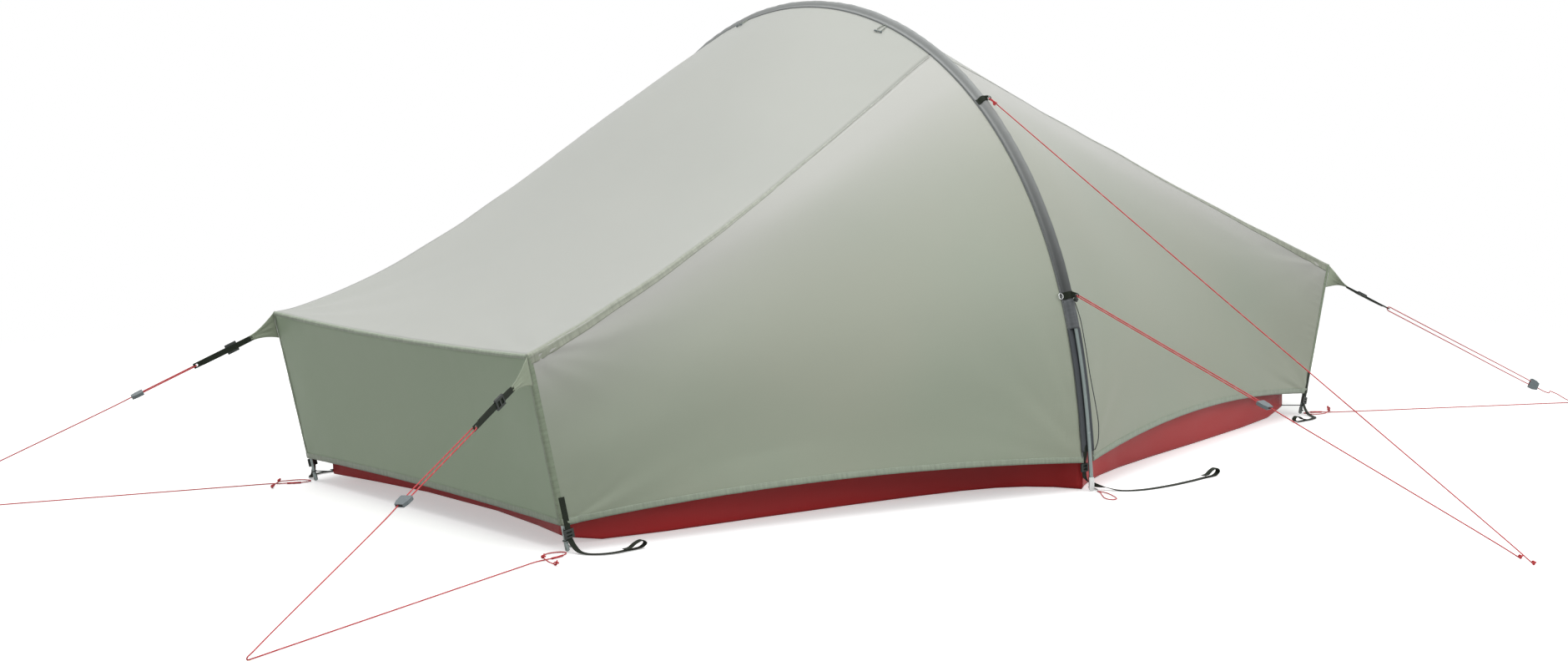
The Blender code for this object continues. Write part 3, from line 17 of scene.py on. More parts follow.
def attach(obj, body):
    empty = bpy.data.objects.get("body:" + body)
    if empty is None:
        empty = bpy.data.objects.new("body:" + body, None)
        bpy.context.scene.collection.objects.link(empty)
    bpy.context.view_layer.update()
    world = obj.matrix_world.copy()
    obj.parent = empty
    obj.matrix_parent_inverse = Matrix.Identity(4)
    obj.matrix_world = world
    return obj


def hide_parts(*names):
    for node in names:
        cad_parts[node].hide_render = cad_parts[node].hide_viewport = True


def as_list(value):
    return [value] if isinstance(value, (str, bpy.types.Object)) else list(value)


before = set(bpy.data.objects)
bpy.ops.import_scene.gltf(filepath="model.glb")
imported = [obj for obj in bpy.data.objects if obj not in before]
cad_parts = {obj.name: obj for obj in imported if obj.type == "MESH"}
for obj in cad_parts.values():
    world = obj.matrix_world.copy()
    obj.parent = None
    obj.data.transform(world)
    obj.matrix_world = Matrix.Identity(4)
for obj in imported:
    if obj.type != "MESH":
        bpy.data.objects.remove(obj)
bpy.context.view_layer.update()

# Sizes of the tent, in metres, as in its solids

# Arch pole
ARCH_HEIGHT = 1.051
ARCH_HALF_SPAN = 0.892
ARCH_FOOT_COSINE = 0.0775
ARCH_BEND_POWER = 1.6
ARCH_STEPS = 400
TANGENT_REACH = 0.006

# Sleeve on the arch
SLEEVE_HALF_WIDTH = 0.015
SLEEVE_DEPTH = 0.007
SLEEVE_SHOULDER = 0.010
SLEEVE_CROWN = 0.004
SLEEVE_WAIST = 0.0075
SLEEVE_WAIST_OUT = 0.0025
TUBE_END_HEIGHT = 0.344
BAND_END_HEIGHT = 0.085
BAND_THICKNESS = 0.0015

# Flysheet
FABRIC = 0.0012
GAP = 0.0003
SEAM_GAP = 0.0005
SEAM_HEIGHT = 0.935
ARCH_HEM_HEIGHT = 0.062
END_OFFSET_Y = -0.13
FRONT_TOP_X = 1.262
REAR_TOP_X = 1.280
TOP_HALF = 0.474
TOP_Z = 0.382
FOOT_X = 1.178
FOOT_HALF = 0.475
HEM_Z = 0.053
NEAR_SEAM_SAG = 0.035
FAR_SEAM_SAG = 0.058
REAR_SAG_SHARE = 0.24
SAG_SKEW = 1.3
FAR_SAG_SKEW = 1.75
ROOF_SAG = 0.012
SIDE_HOLLOW = 0.022
HEM_SAG_IN = 0.018
HEM_SAG_UP = 0.022
REAR_HEM_SAG_UP = 0.036
END_TOP_SAG = 0.010
END_HEM_RISE = 0.007
END_HOLLOW = 0.012

# Door
DOOR_TIP_SHARE = 0.982
TRIANGLE_TIP_SHARE = 0.045
DOOR_FOLD_GAP = 0.0013
DOOR_EDGE_GAP = 0.0004

# Corner struts and arch feet
STRUT_RADIUS = 0.0037
STRUT_INSET = 0.0050
STRUT_TOP_DROP = 0.016
FOOT_BAR = (0.007, 0.026, 0.004)
FOOT_BAR_OUT = 0.004

# Webbing of the corners and the feet
WEBBING_WIDTH = 0.012
WEBBING_THICKNESS = 0.0012
TAB_HEIGHT = 0.056
TAB_TOP = 0.002
TAB_LENGTH = 0.0785
TAB_STANDOFF = 0.0010
STRAP_LENGTH = 0.195
CORD_IN_HOLE = 0.0010
STRAP_HOLE_MARGIN = 0.007
FOOT_STRAP_RISE = 0.054
FOOT_BUCKLE_LENGTH = 0.018
FOOT_BUCKLE_DROP = 0.018
STRAP_EDGE_INSET = 0.0095

# Bands with the guy points
HIGH_BAND_HEIGHT = 0.829
MID_BAND_HEIGHT = 0.417
BAND_WIDTH = 0.015
BAND_TAB_LENGTH = 0.009
BAND_TAB_RISE = 0.0075
BAND_TAB_HOLE = 0.0026
BAND_TAB_WIDTH = 0.0095
RING_RADIUS = 0.0065
RING_WIRE = 0.0011

# Guy lines and their pegs' places
CORD_DIAMETER = 0.0025
HOLE_TURN_OUT = 0.0014
HOLE_TURN_ASIDE = 0.0032
CORD_REST = 0.0014
STRAND_SPREAD = 0.0051
STRAND_CLOSE = 0.0026
FRONT_PEG_X = 1.984
FRONT_PEG_HALF = 0.745
REAR_PEG_X = 1.850
REAR_PEG_HALF = 0.850
ARCH_PEG = (0.067, -1.885)
FRONT_NEAR_LOCK = 0.420
FRONT_FAR_LOCK = 0.325
REAR_NEAR_LOCK = 0.660
MID_LOCK = 0.505
PULLER_DIAMETER = 0.0020

# Toggles
TOGGLE_NEAR_Y = -0.275
TOGGLE_FAR_Y = 0.214
TOGGLE_LENGTH = 0.034
TOGGLE_BAR_LENGTH = 0.020
TOGGLE_BAR_RADIUS = 0.0024
TOGGLE_CORD_RADIUS = 0.0010
TOGGLE_LOOP_HALF = 0.0058

# Inner tent
FLOOR_HALF_LENGTH = 1.150
FLOOR_NEAR_Y = -0.560
FLOOR_FAR_Y = 0.305
FLOOR_FAR_BULGE = 0.10
FLOOR_CORNER_LIFT = 0.018
FLOOR_CORNER_REACH = 0.14
FLOOR_END_LIFT = 0.015
FLOOR_RIM = 0.12
FLOOR_END_BOW = 0.055
FLOOR_TO_ARCH = 0.117
FLOOR_MIDDLE_Y = FLOOR_TO_ARCH - ARCH_HALF_SPAN
FLOOR_REAR_MIDDLE_Y = -0.750
FLOOR_FRONT_POWER = 0.62
FLOOR_REAR_POWER = 1.6
FLOOR_CUSP_Y = -0.866
FLOOR_CUSP_FRONT = 0.060
FLOOR_CUSP_REAR = 0.165
TUB_HEIGHT = 0.100
CORNER_ELASTIC_RADIUS = 0.0012
CORNER_ELASTIC_HEIGHT = 0.0225
CORNER_ELASTIC_ASIDE = 0.0050
CANOPY_INSET = 0.004
CANOPY_END_STEP = 0.003
CANOPY_UNDER_ROOF = 0.055
CANOPY_POWER = 2.4
CANOPY_END_SHARE = 1.0714
DOORWAY_FRONT_X = -0.72
DOORWAY_REAR_X = -0.08
DOORWAY_HEAD = 0.72

# Directions
NEAR, FAR = -1, 1
FRONT, REAR = -1, 1
X_AXIS = Vector((1, 0, 0))
Y_AXIS = Vector((0, 1, 0))
Z_AXIS = Vector((0, 0, 1))

# Camera
CAMERA_TARGET = Vector((-0.7606, -0.7536, 0.4))
CAMERA_DISTANCE = 4.2229
CAMERA_AZIMUTH = math.radians(-41.677)
CAMERA_ELEVATION = math.radians(7.193)
CAMERA_ROLL = math.radians(-0.177)
CAMERA_LENS_MM = 49.95
SENSOR_MM = 36.0

# Studio
WORLD_LEVEL = 0.52
GROUND_HALF = 16.0
GROUND_DROP = 0.0012
GROUND_GLOW = 0.42
BOUNCE_GREY = "#8C8C8A"
SHADOW_MIDDLE = (-0.05, -0.15, 0.0)
SHADOW_REACH = (1.9, 3.4)
LAMPS = (
    ("overhead_softbox", (-0.9, -0.4, 4.6), (6.0, 5.0), 155.0, (0.0, -0.2, 0.3)),
    ("near_softbox", (1.2, -5.2, 2.8), (4.0, 2.5), 70.0, (0.2, -0.5, 0.5)),
)

# Seams, hems and strips sewn on the cloth
SEAM_WIDTH = 0.008
HEM_WIDTH = 0.013
SEAM_SPAN = 0.020
PIPING_WIDTH = 0.0042
ZIP_TAPE_WIDTH = 0.012
ZIP_TAPE_LIFT = 0.0001
STRIP_LIFT = 0.0006
STRIP_THICKNESS = 0.0005
# How far from the roof seam the painted light reaches, along the cloth map
PAINTED_LIGHT_SEAM_REACH = 0.19
SEAM_SWELL = 0.0005
SEAM_RIPPLE = 0.0035
RIPPLE_POWER = 12
FAN_START = 0.03
GATHER_STEP = 0.024
GATHER_REACH = 0.030
EDGE_FADE = 0.010

# Sleeve, tab and strap details
THIN_CLOTH = 0.0006
SLEEVE_THICKNESS = 0.0007
LEG_BAND_THICKNESS = 0.0008
MOUTH_INSET = 0.004
MOUTH_LENGTH = 0.062
MOUTH_LAP = 0.001
LEG_BAND_SPARE = 0.0045
TAB_SHORT = 0.016
TAB_LAP = 0.006
TAB_FOLD = 0.0035
STRAP_REST = 0.0013
WEBBING_STEP = 0.0015
HOLE_HALF_LENGTH = 0.0030
HOLE_HALF_WIDTH = 0.0032
TAIL_SHORT = 0.012
TAIL_DROP = 0.0016
TAIL_SAG = 0.0012
EYELET_RADIUS = 0.0036
EYELET_WIRE = 0.0008
BAND_EYELET_SPARE = 0.0004
BAND_EYELET_WIRE = 0.0007

# Knots and bindings of the cords
BOUND_LENGTH = 0.055
BOUND_POINTS = 12
BINDING_SHARE = 1.7
CORNER_END_KNOT = (0.0040, 0.0100)
CORNER_LOOP_KNOT = (0.0032, 0.0085)
ARCH_END_KNOT = (0.0034, 0.0075)
ARCH_TOP_KNOT = (0.0, 0.0090)

# Inner tent details
CANOPY_MAP = (1.9, 2.4)
CANOPY_TUCK = 0.015
CANOPY_MIDDLE = (-0.10, 0.30)
SHOULDER_PLACE = (0.345, 0.5)
SHOULDER_REACH = (0.11, 0.055)
TUB_MAP = (0.22, 6.2)
TUB_RISE_SHARE = 0.35
TUB_MIDDLE_RISE = 0.0004
TUB_THICKNESS = 0.0008
TUB_WALL_RELIEF = 0.0032
TUB_WALL_INSET = 0.0006
TUB_GROUND_RELIEF = 0.0016
BINDING_BACK = 0.004
HEAD_BINDING = 0.012
JAMB_BINDING = 0.008
JAMB_FOOT = 0.995
BINDING_THICKNESS = 0.0012


# The tent's lines and surfaces

def mix(low, high, share):
    return low + (high - low) * share


def bow(share):
    """0 at both ends of a span and 1 in its middle."""
    return 4 * share * (1 - share)


def hang(share, across):
    """As bow, with its highest value nearer to the tent's end, and more so at the far seam."""
    return bow(share ** mix(SAG_SKEW, FAR_SAG_SKEW, across))


def arch_line():
    """Points from the near foot over the top to the far foot. The bend grows with the height."""
    reach = [0.0]
    heights = [1.0]
    for step in range(ARCH_STEPS):
        high = 1 - (step / ARCH_STEPS) ** 2
        low = 1 - ((step + 1) / ARCH_STEPS) ** 2
        middle = (high + low) / 2
        cosine = 1 - (1 - ARCH_FOOT_COSINE) * (1 - middle ** ARCH_BEND_POWER)
        reach.append(reach[-1] + cosine / math.sqrt(1 - cosine ** 2) * (high - low))
        heights.append(low)
    leg = [
        Vector((0, ARCH_HALF_SPAN * out / reach[-1], ARCH_HEIGHT * high))
        for out, high in zip(reach, heights)
    ]
    near_leg = [Vector((0, -point.y, point.z)) for point in reversed(leg)]
    return near_leg + leg[1:]


def runs_of(points):
    runs = [0.0]
    for first, second in zip(points, points[1:]):
        runs.append(runs[-1] + (second - first).length)
    return runs


ARCH = arch_line()
ARCH_RUNS = runs_of(ARCH)
ARCH_LENGTH = ARCH_RUNS[-1]


def arch_centre(distance):
    place = bisect.bisect_right(ARCH_RUNS, distance) - 1
    place = min(max(place, 0), len(ARCH) - 2)
    share = (distance - ARCH_RUNS[place]) / (ARCH_RUNS[place + 1] - ARCH_RUNS[place])
    return ARCH[place].lerp(ARCH[place + 1], share)


def arch_tangent(distance):
    ahead, behind = arch_centre(distance + TANGENT_REACH), arch_centre(distance - TANGENT_REACH)
    return (ahead - behind).normalized()


def arch_outward(distance):
    return X_AXIS.cross(arch_tangent(distance))


def on_arch(distance, outward=0.0, x=0.0):
    return arch_centre(distance) + arch_outward(distance) * outward + X_AXIS * x


def distance_at_height(height, side=NEAR):
    """How far along the arch this height comes, on the near or the far leg."""
    near_heights = [point.z for point in ARCH[: ARCH_STEPS + 1]]
    place = bisect.bisect_right(near_heights, height) - 1
    share = (height - near_heights[place]) / (near_heights[place + 1] - near_heights[place])
    distance = mix(ARCH_RUNS[place], ARCH_RUNS[place + 1], share)
    return distance if side == NEAR else ARCH_LENGTH - distance


def distance_at_y(y):
    places = [point.y for point in ARCH]
    place = bisect.bisect_right(places, y) - 1
    share = (y - places[place]) / (places[place + 1] - places[place])
    return mix(ARCH_RUNS[place], ARCH_RUNS[place + 1], share)


SEAM_DISTANCE = distance_at_height(SEAM_HEIGHT)
HEM_DISTANCE = distance_at_height(ARCH_HEM_HEIGHT)
TUBE_END_DISTANCE = distance_at_height(TUBE_END_HEIGHT)
BAND_END_DISTANCE = distance_at_height(BAND_END_HEIGHT)
FLY_EDGE_X = SLEEVE_HALF_WIDTH + GAP


def curve_through(points, counts):
    """Points of a smooth curve through the given ones, with its own number of steps in each span."""
    padded = [points[0] * 2 - points[1], *points, points[-1] * 2 - points[-2]]
    found = [points[0]]
    for place, count in enumerate(counts):
        a, b, c, d = padded[place : place + 4]
        t0 = 0.0
        t1 = t0 + math.sqrt((b - a).length)
        t2 = t1 + math.sqrt((c - b).length)
        t3 = t2 + math.sqrt((d - c).length)
        for step in range(1, count + 1):
            t = mix(t1, t2, step / count)
            ab = a * ((t1 - t) / (t1 - t0)) + b * ((t - t0) / (t1 - t0))
            bc = b * ((t2 - t) / (t2 - t1)) + c * ((t - t1) / (t2 - t1))
            cd = c * ((t3 - t) / (t3 - t2)) + d * ((t - t2) / (t3 - t2))
            abc = ab * ((t2 - t) / (t2 - t0)) + bc * ((t - t0) / (t2 - t0))
            bcd = bc * ((t3 - t) / (t3 - t1)) + cd * ((t - t1) / (t3 - t1))
            found.append(abc * ((t2 - t) / (t2 - t1)) + bcd * ((t - t1) / (t2 - t1)))
    return found


def ways_through(ways, counts):
    """Directions that turn evenly from each of the given ones to the next."""
    found = [ways[0].normalized()]
    for first, second, count in zip(ways, ways[1:], counts):
        found += [first.lerp(second, step / count).normalized() for step in range(1, count + 1)]
    return found


def edge_point(end, side, height):
    """A point of the slanting corner edge, between the end wall and the side."""
    share = height / TOP_Z
    top_x = FRONT_TOP_X if end == FRONT else REAR_TOP_X
    return Vector((
        end * mix(FOOT_X, top_x, share),
        END_OFFSET_Y + side * mix(FOOT_HALF, TOP_HALF, share),
        height,
    ))


def fly_at_arch(distance, end):
    return on_arch(distance, -SLEEVE_DEPTH, end * FLY_EDGE_X)


def seam_sag(end, across):
    """How far the roof hangs in its middle: 0 across is at the near seam and 1 at the far one."""
    sag = mix(NEAR_SEAM_SAG, FAR_SEAM_SAG, across) + ROOF_SAG * bow(across)
    return sag * (REAR_SAG_SHARE if end == REAR else 1)


def roof_surface(end):
    def place_at(u, v):
        across = mix(SEAM_GAP / 2, 1 - SEAM_GAP / 2, u)
        along = v * (1 - SEAM_GAP)
        at_arch = fly_at_arch(mix(SEAM_DISTANCE, ARCH_LENGTH - SEAM_DISTANCE, across), end)
        at_end = edge_point(end, NEAR, TOP_Z).lerp(edge_point(end, FAR, TOP_Z), across)
        at_end.z -= END_TOP_SAG * bow(across)
        return at_arch.lerp(at_end, along) - Z_AXIS * seam_sag(end, across) * hang(along, across)

    return place_at


def side_surface(end, side):
    """u runs from the roof seam down to the hem, and v from the arch to the corner."""

    def place_at(u, v):
        down = mix(SEAM_GAP / 2, 1, u)
        along = v * (1 - SEAM_GAP / 2)
        distance = mix(SEAM_DISTANCE, HEM_DISTANCE, down)
        if side == FAR:
            distance = ARCH_LENGTH - distance
        at_arch = fly_at_arch(distance, end)
        at_end = edge_point(end, side, mix(TOP_Z, HEM_Z, down))
        rise = (HEM_SAG_UP if end == FRONT else REAR_HEM_SAG_UP) * down ** 2
        sag = Vector((0, -side * (HEM_SAG_IN * down + SIDE_HOLLOW * bow(down)), rise))
        across = 0 if side == NEAR else 1
        drop = seam_sag(end, across) * (1 - down) * hang(along, across)
        return at_arch.lerp(at_end, along) + sag * bow(along) - Z_AXIS * drop

    return place_at


def end_surface(end):
    def place_at(u, v):
        across = mix(SEAM_GAP / 2, 1 - SEAM_GAP / 2, u)
        down = mix(SEAM_GAP, 1, v)
        height = mix(TOP_Z, HEM_Z, down)
        point = edge_point(end, NEAR, height).lerp(edge_point(end, FAR, height), across)
        point.z += bow(across) * mix(-END_TOP_SAG, END_HEM_RISE, down)
        point.x -= end * END_HOLLOW * bow(across) * bow(down)
        return point

    return place_at


DOOR_HEAD = fly_at_arch(ARCH_LENGTH - SEAM_DISTANCE, FRONT)
DOOR_CORNER = edge_point(FRONT, FAR, HEM_Z)


def door_surface(u, v):
    """The door narrows from the arch to the bottom corner, so that its fold line is straight."""
    at_arch = fly_at_arch(ARCH_LENGTH - mix(SEAM_DISTANCE, HEM_DISTANCE, u), FRONT)
    at_arch.x -= DOOR_EDGE_GAP
    along = v * DOOR_TIP_SHARE
    sag = Vector((0, -(HEM_SAG_IN * u ** 2 + SIDE_HOLLOW * bow(u)), HEM_SAG_UP * u ** 2))
    point = at_arch.lerp(DOOR_CORNER, along) + sag * bow(along)
    fold = (DOOR_CORNER - DOOR_HEAD).normalized()
    away = point - DOOR_HEAD
    away = away - fold * away.dot(fold)
    down_door = fly_at_arch(ARCH_LENGTH - HEM_DISTANCE, FRONT) - DOOR_HEAD
    down_door = (down_door - fold * down_door.dot(fold)).normalized()
    short = DOOR_FOLD_GAP - away.dot(down_door)
    if short > 0:
        point = point + down_door * short
    return point


def beside_door_surface(u, v):
    """The fixed cloth between the roof seam, the far corner and the door's fold line."""
    along = mix(TRIANGLE_TIP_SHARE, 1 - SEAM_GAP / 2, v)
    down = mix(SEAM_GAP * 2, 1, u)
    at_end = edge_point(FRONT, FAR, mix(TOP_Z, HEM_Z, down))
    return DOOR_HEAD.lerp(at_end, along) - Z_AXIS * seam_sag(FRONT, 1) * hang(along, 1) * (1 - down)


CORNERS = (
    (FRONT, NEAR, "front_near"),
    (FRONT, FAR, "front_far"),
    (REAR, NEAR, "rear_near"),
    (REAR, FAR, "rear_far"),
)


def strut_ends(end, side):
    inset = Vector((end, side, 0)) * STRUT_INSET
    return edge_point(end, side, 0) - inset, edge_point(end, side, TOP_Z - STRUT_TOP_DROP) - inset


def peg_of(end, side):
    if end == FRONT:
        return Vector((-FRONT_PEG_X, END_OFFSET_Y + side * FRONT_PEG_HALF, 0))
    return Vector((REAR_PEG_X, END_OFFSET_Y + side * REAR_PEG_HALF, 0))


def corner_frame(end, side):
    """The middle of the tab's base, the way to its peg, the width way and the way square to both."""
    down_edge = (edge_point(end, side, 0) - edge_point(end, side, TOP_Z)).normalized()
    corner = edge_point(end, side, TOP_Z) + down_edge * (TAB_TOP + TAB_HEIGHT / 2)
    way = (peg_of(end, side) - corner).normalized()
    width_way = (down_edge - way * down_edge.dot(way)).normalized()
    if (end, side) == (REAR, NEAR):
        width_way = way.cross(width_way)
    return corner, way, width_way, way.cross(width_way)


def strand_points(hole, way, across, lock_distance):
    """Out of the lock, up to the hole, through it, and back through the lock, where they close up."""
    ready = [
        hole + way * (lock_distance + 0.006) + across * mix(STRAND_CLOSE, STRAND_SPREAD, 0.5),
        hole + way * (lock_distance - 0.020) + across * STRAND_SPREAD,
        hole + way * (lock_distance * 0.5) + across * STRAND_SPREAD,
        hole + way * 0.020 + across * STRAND_SPREAD,
        hole + way * 0.0075 + across * STRAND_SPREAD,
        hole + way * (CORD_IN_HOLE + HOLE_TURN_OUT) + across * HOLE_TURN_ASIDE,
        hole + way * CORD_IN_HOLE,
        hole + way * (CORD_IN_HOLE + HOLE_TURN_OUT) - across * HOLE_TURN_ASIDE,
        hole + way * 0.0075 - across * STRAND_SPREAD,
        hole + way * 0.020 - across * STRAND_SPREAD,
        hole + way * (lock_distance * 0.5) - across * STRAND_SPREAD,
        hole + way * (lock_distance - 0.020) - across * STRAND_SPREAD,
        hole + way * (lock_distance + 0.013) - across * STRAND_CLOSE,
        hole + way * (lock_distance + 0.050) - across * STRAND_CLOSE * 0.4,
    ]
    return ready, [2, 2, 2, 3, 3, 2, 2, 3, 3, 2, 2, 3, 2]


def ground_loop(foot, away, turn):
    """A tied loop of cord on the ground, by the foot of a strut: it goes round and over itself."""
    outline = (
        (0.150, 0.000, 0.0),
        (0.100, 0.001, 0.0),
        (0.066, 0.010, 0.0),
        (0.036, 0.014, 0.0),
        (0.0135, 0.006, 0.0),
        (0.0140, -0.006, 0.0),
        (0.036, -0.020, 0.0),
        (0.064, -0.015, 0.0008),
        (0.082, 0.003, 0.0036),
        (0.096, 0.024, 0.0014),
        (0.104, 0.048, 0.0),
    )
    return [foot + away * out + turn * aside + Z_AXIS * (CORD_REST + rise) for out, aside, rise in outline]


def band_frame(height, side):
    """A band's distance along the arch, the root and the hole of its tab, the way to the arch peg, the
    tab's width way and the way square to both."""
    distance = distance_at_height(height, side)
    peg = Vector((ARCH_PEG[0], ARCH_PEG[1] * -side, 0))
    root = on_arch(distance, SLEEVE_DEPTH + GAP + WEBBING_THICKNESS / 2)
    way = (peg - root).normalized()
    tangent = arch_tangent(distance)
    width_way = (tangent - way * tangent.dot(way)).normalized()
    across = way.cross(width_way)
    hole = root + arch_outward(distance) * BAND_TAB_RISE + way * BAND_TAB_LENGTH
    return distance, root, hole, way, width_way, across


def tail_loop(origin, ahead, across):
    """The webbing's end, doubled back above itself as a standing eye."""
    outline = (
        (0.000, STRAP_REST), (0.020, STRAP_REST), (0.036, 0.0030), (0.045, 0.0094),
        (0.037, 0.0158), (0.022, 0.0128), (0.007, 0.0052), (-0.006, 0.0040),
    )
    centres = [origin + ahead * along + Z_AXIS * height for along, height in outline]
    return centres, [across] * len(centres)


def floor_wall_line(x):
    """The near edge of the inner tent without the peak at the arch's foot."""
    share = min(1.0, abs(x) / FLOOR_HALF_LENGTH)
    if x < 0:
        return mix(FLOOR_MIDDLE_Y, FLOOR_NEAR_Y, share ** FLOOR_FRONT_POWER)
    return mix(FLOOR_REAR_MIDDLE_Y, FLOOR_NEAR_Y, share ** FLOOR_REAR_POWER)


def floor_near_edge(x):
    reach, middle = (FLOOR_CUSP_FRONT, FLOOR_MIDDLE_Y) if x < 0 else (FLOOR_CUSP_REAR, FLOOR_REAR_MIDDLE_Y)
    return floor_wall_line(x) + (FLOOR_CUSP_Y - middle) * math.exp(-abs(x) / reach)


def floor_far_edge(x):
    return FLOOR_FAR_Y + FLOOR_FAR_BULGE * (1 - (x / FLOOR_HALF_LENGTH) ** 2)


NEAR_STEPS = (-1, -0.93, -0.8, -0.6, -0.42, -0.28, -0.18, -0.11, -0.06, -0.025)
NEAR_STEPS += (0, 0.03, 0.07, 0.13, 0.22, 0.36, 0.55, 0.78, 0.92, 1)
FAR_STEPS = (1, 0.93, 0.75, 0.5, 0.25, 0, -0.25, -0.5, -0.75, -0.93, -1)
END_SHARES = (0.15, 0.35, 0.65, 0.85)


def floor_outline(inset, height, smooth_near=False):
    """The floor's edge, drawn in by inset. Its corners are held up a little."""
    shrink = (FLOOR_HALF_LENGTH - inset) / FLOOR_HALF_LENGTH
    ring = []
    for steps, edge, way in ((NEAR_STEPS, floor_near_edge, 1), (FAR_STEPS, floor_far_edge, -1)):
        for step in steps:
            x = step * FLOOR_HALF_LENGTH
            y = edge(x) + way * inset
            if smooth_near and way == 1:
                y = max(y, floor_wall_line(x) + inset)
            away = (1 - abs(step)) * FLOOR_HALF_LENGTH
            lift = FLOOR_CORNER_LIFT * max(0.0, 1 - away / FLOOR_CORNER_REACH) ** 2
            ring.append(Vector((x * shrink, y, height + lift)))
        corner = ring[-1]
        next_y = (floor_far_edge(x) - inset) if way == 1 else (floor_near_edge(-FLOOR_HALF_LENGTH) + inset)
        for share in END_SHARES:
            lift = mix(FLOOR_END_LIFT, FLOOR_CORNER_LIFT, (1 - bow(share)) ** 2)
            ring.append(Vector((
                corner.x - math.copysign(FLOOR_END_BOW * bow(share), corner.x),
                mix(corner.y, next_y, share),
                height + lift,
            )))
    return ring


def roof_height(x):
    """The underside of the roof above the tent's middle line, x metres from the arch."""
    end = FRONT if x < 0 else REAR
    return roof_surface(end)(0.5, min(abs(x) / FRONT_TOP_X, 1.0)).z


def canopy_surface(u, v):
    """u goes round from the near wall over the top to the far wall, and v from the front to the rear."""
    along = mix(-CANOPY_END_SHARE, CANOPY_END_SHARE, v)
    flattened = abs(along) > 1.0001
    x = max(-1.0, min(1.0, along)) * (FLOOR_HALF_LENGTH - CANOPY_INSET)
    if flattened:
        x += math.copysign(CANOPY_END_STEP, along)
    near = max(floor_wall_line(x), FLOOR_MIDDLE_Y) + CANOPY_INSET
    far = floor_far_edge(min(abs(x), FLOOR_HALF_LENGTH)) - CANOPY_INSET
    base = TUB_HEIGHT + GAP
    top = roof_height(x) - CANOPY_UNDER_ROOF
    turn = math.pi * (1 - u)
    wide = math.copysign(abs(math.cos(turn)) ** (2 / CANOPY_POWER), math.cos(turn))
    high = abs(math.sin(turn)) ** (2 / CANOPY_POWER)
    y = mix(near, far, (wide + 1) / 2)
    z = base if flattened else base + (top - base) * high
    return Vector((x, y, z))


# Camera, light and floor

def place_camera():
    back = Vector((
        math.sin(CAMERA_AZIMUTH) * math.cos(CAMERA_ELEVATION),
        -math.cos(CAMERA_AZIMUTH) * math.cos(CAMERA_ELEVATION),
        math.sin(CAMERA_ELEVATION),
    ))
    data = bpy.data.cameras.new("camera")
    data.lens = CAMERA_LENS_MM
    data.sensor_width = SENSOR_MM
    camera = bpy.data.objects.new("camera", data)
    bpy.context.scene.collection.objects.link(camera)
    turned = back.to_track_quat("Z", "Y").to_matrix().to_4x4()
    place = Matrix.Translation(CAMERA_TARGET + back * CAMERA_DISTANCE)
    camera.matrix_world = place @ turned @ Matrix.Rotation(CAMERA_ROLL, 4, "Z")
    bpy.context.scene.camera = camera


def colour(code):
    """A linear colour from an sRGB hex code."""
    parts = [int(code[place : place + 2], 16) / 255 for place in (1, 3, 5)]
    linear = [part / 12.92 if part <= 0.04045 else ((part + 0.055) / 1.055) ** 2.4 for part in parts]
    return (*linear, 1.0)


def node(tree, kind, inputs=(), **settings):
    """Adds a node with its settings, and sets or links its inputs."""
    made = tree.nodes.new(f"ShaderNode{kind}")
    for name, value in settings.items():
        setattr(made, name, value)
    for socket, value in dict(inputs).items():
        if isinstance(value, bpy.types.NodeSocket):
            tree.links.new(value, made.inputs[socket])
        else:
            made.inputs[socket].default_value = value
    return made


def seen_directly(tree):
    """1 for what the camera, mirrors and clear things see, and 0 for the light that objects get."""
    rays = node(tree, "LightPath").outputs
    either = node(tree, "Math", {0: rays["Is Camera Ray"], 1: rays["Is Glossy Ray"]}, operation="MAXIMUM")
    every = {0: either.outputs[0], 1: rays["Is Transmission Ray"]}
    return node(tree, "Math", every, operation="MAXIMUM").outputs[0]


def make_world():
    """White to the camera, and a softer white to what it lights."""
    world = bpy.data.worlds.new("studio")
    bpy.context.scene.world = world
    world.use_nodes = True
    tree = world.node_tree
    tree.nodes.clear()
    strength = node(tree, "MapRange", {0: seen_directly(tree), 3: WORLD_LEVEL, 4: 1.0})
    sky = node(tree, "Background", {"Color": colour("#FFFFFF"), "Strength": strength.outputs[0]})
    out = node(tree, "OutputWorld")
    tree.links.new(sky.outputs[0], out.inputs[0])


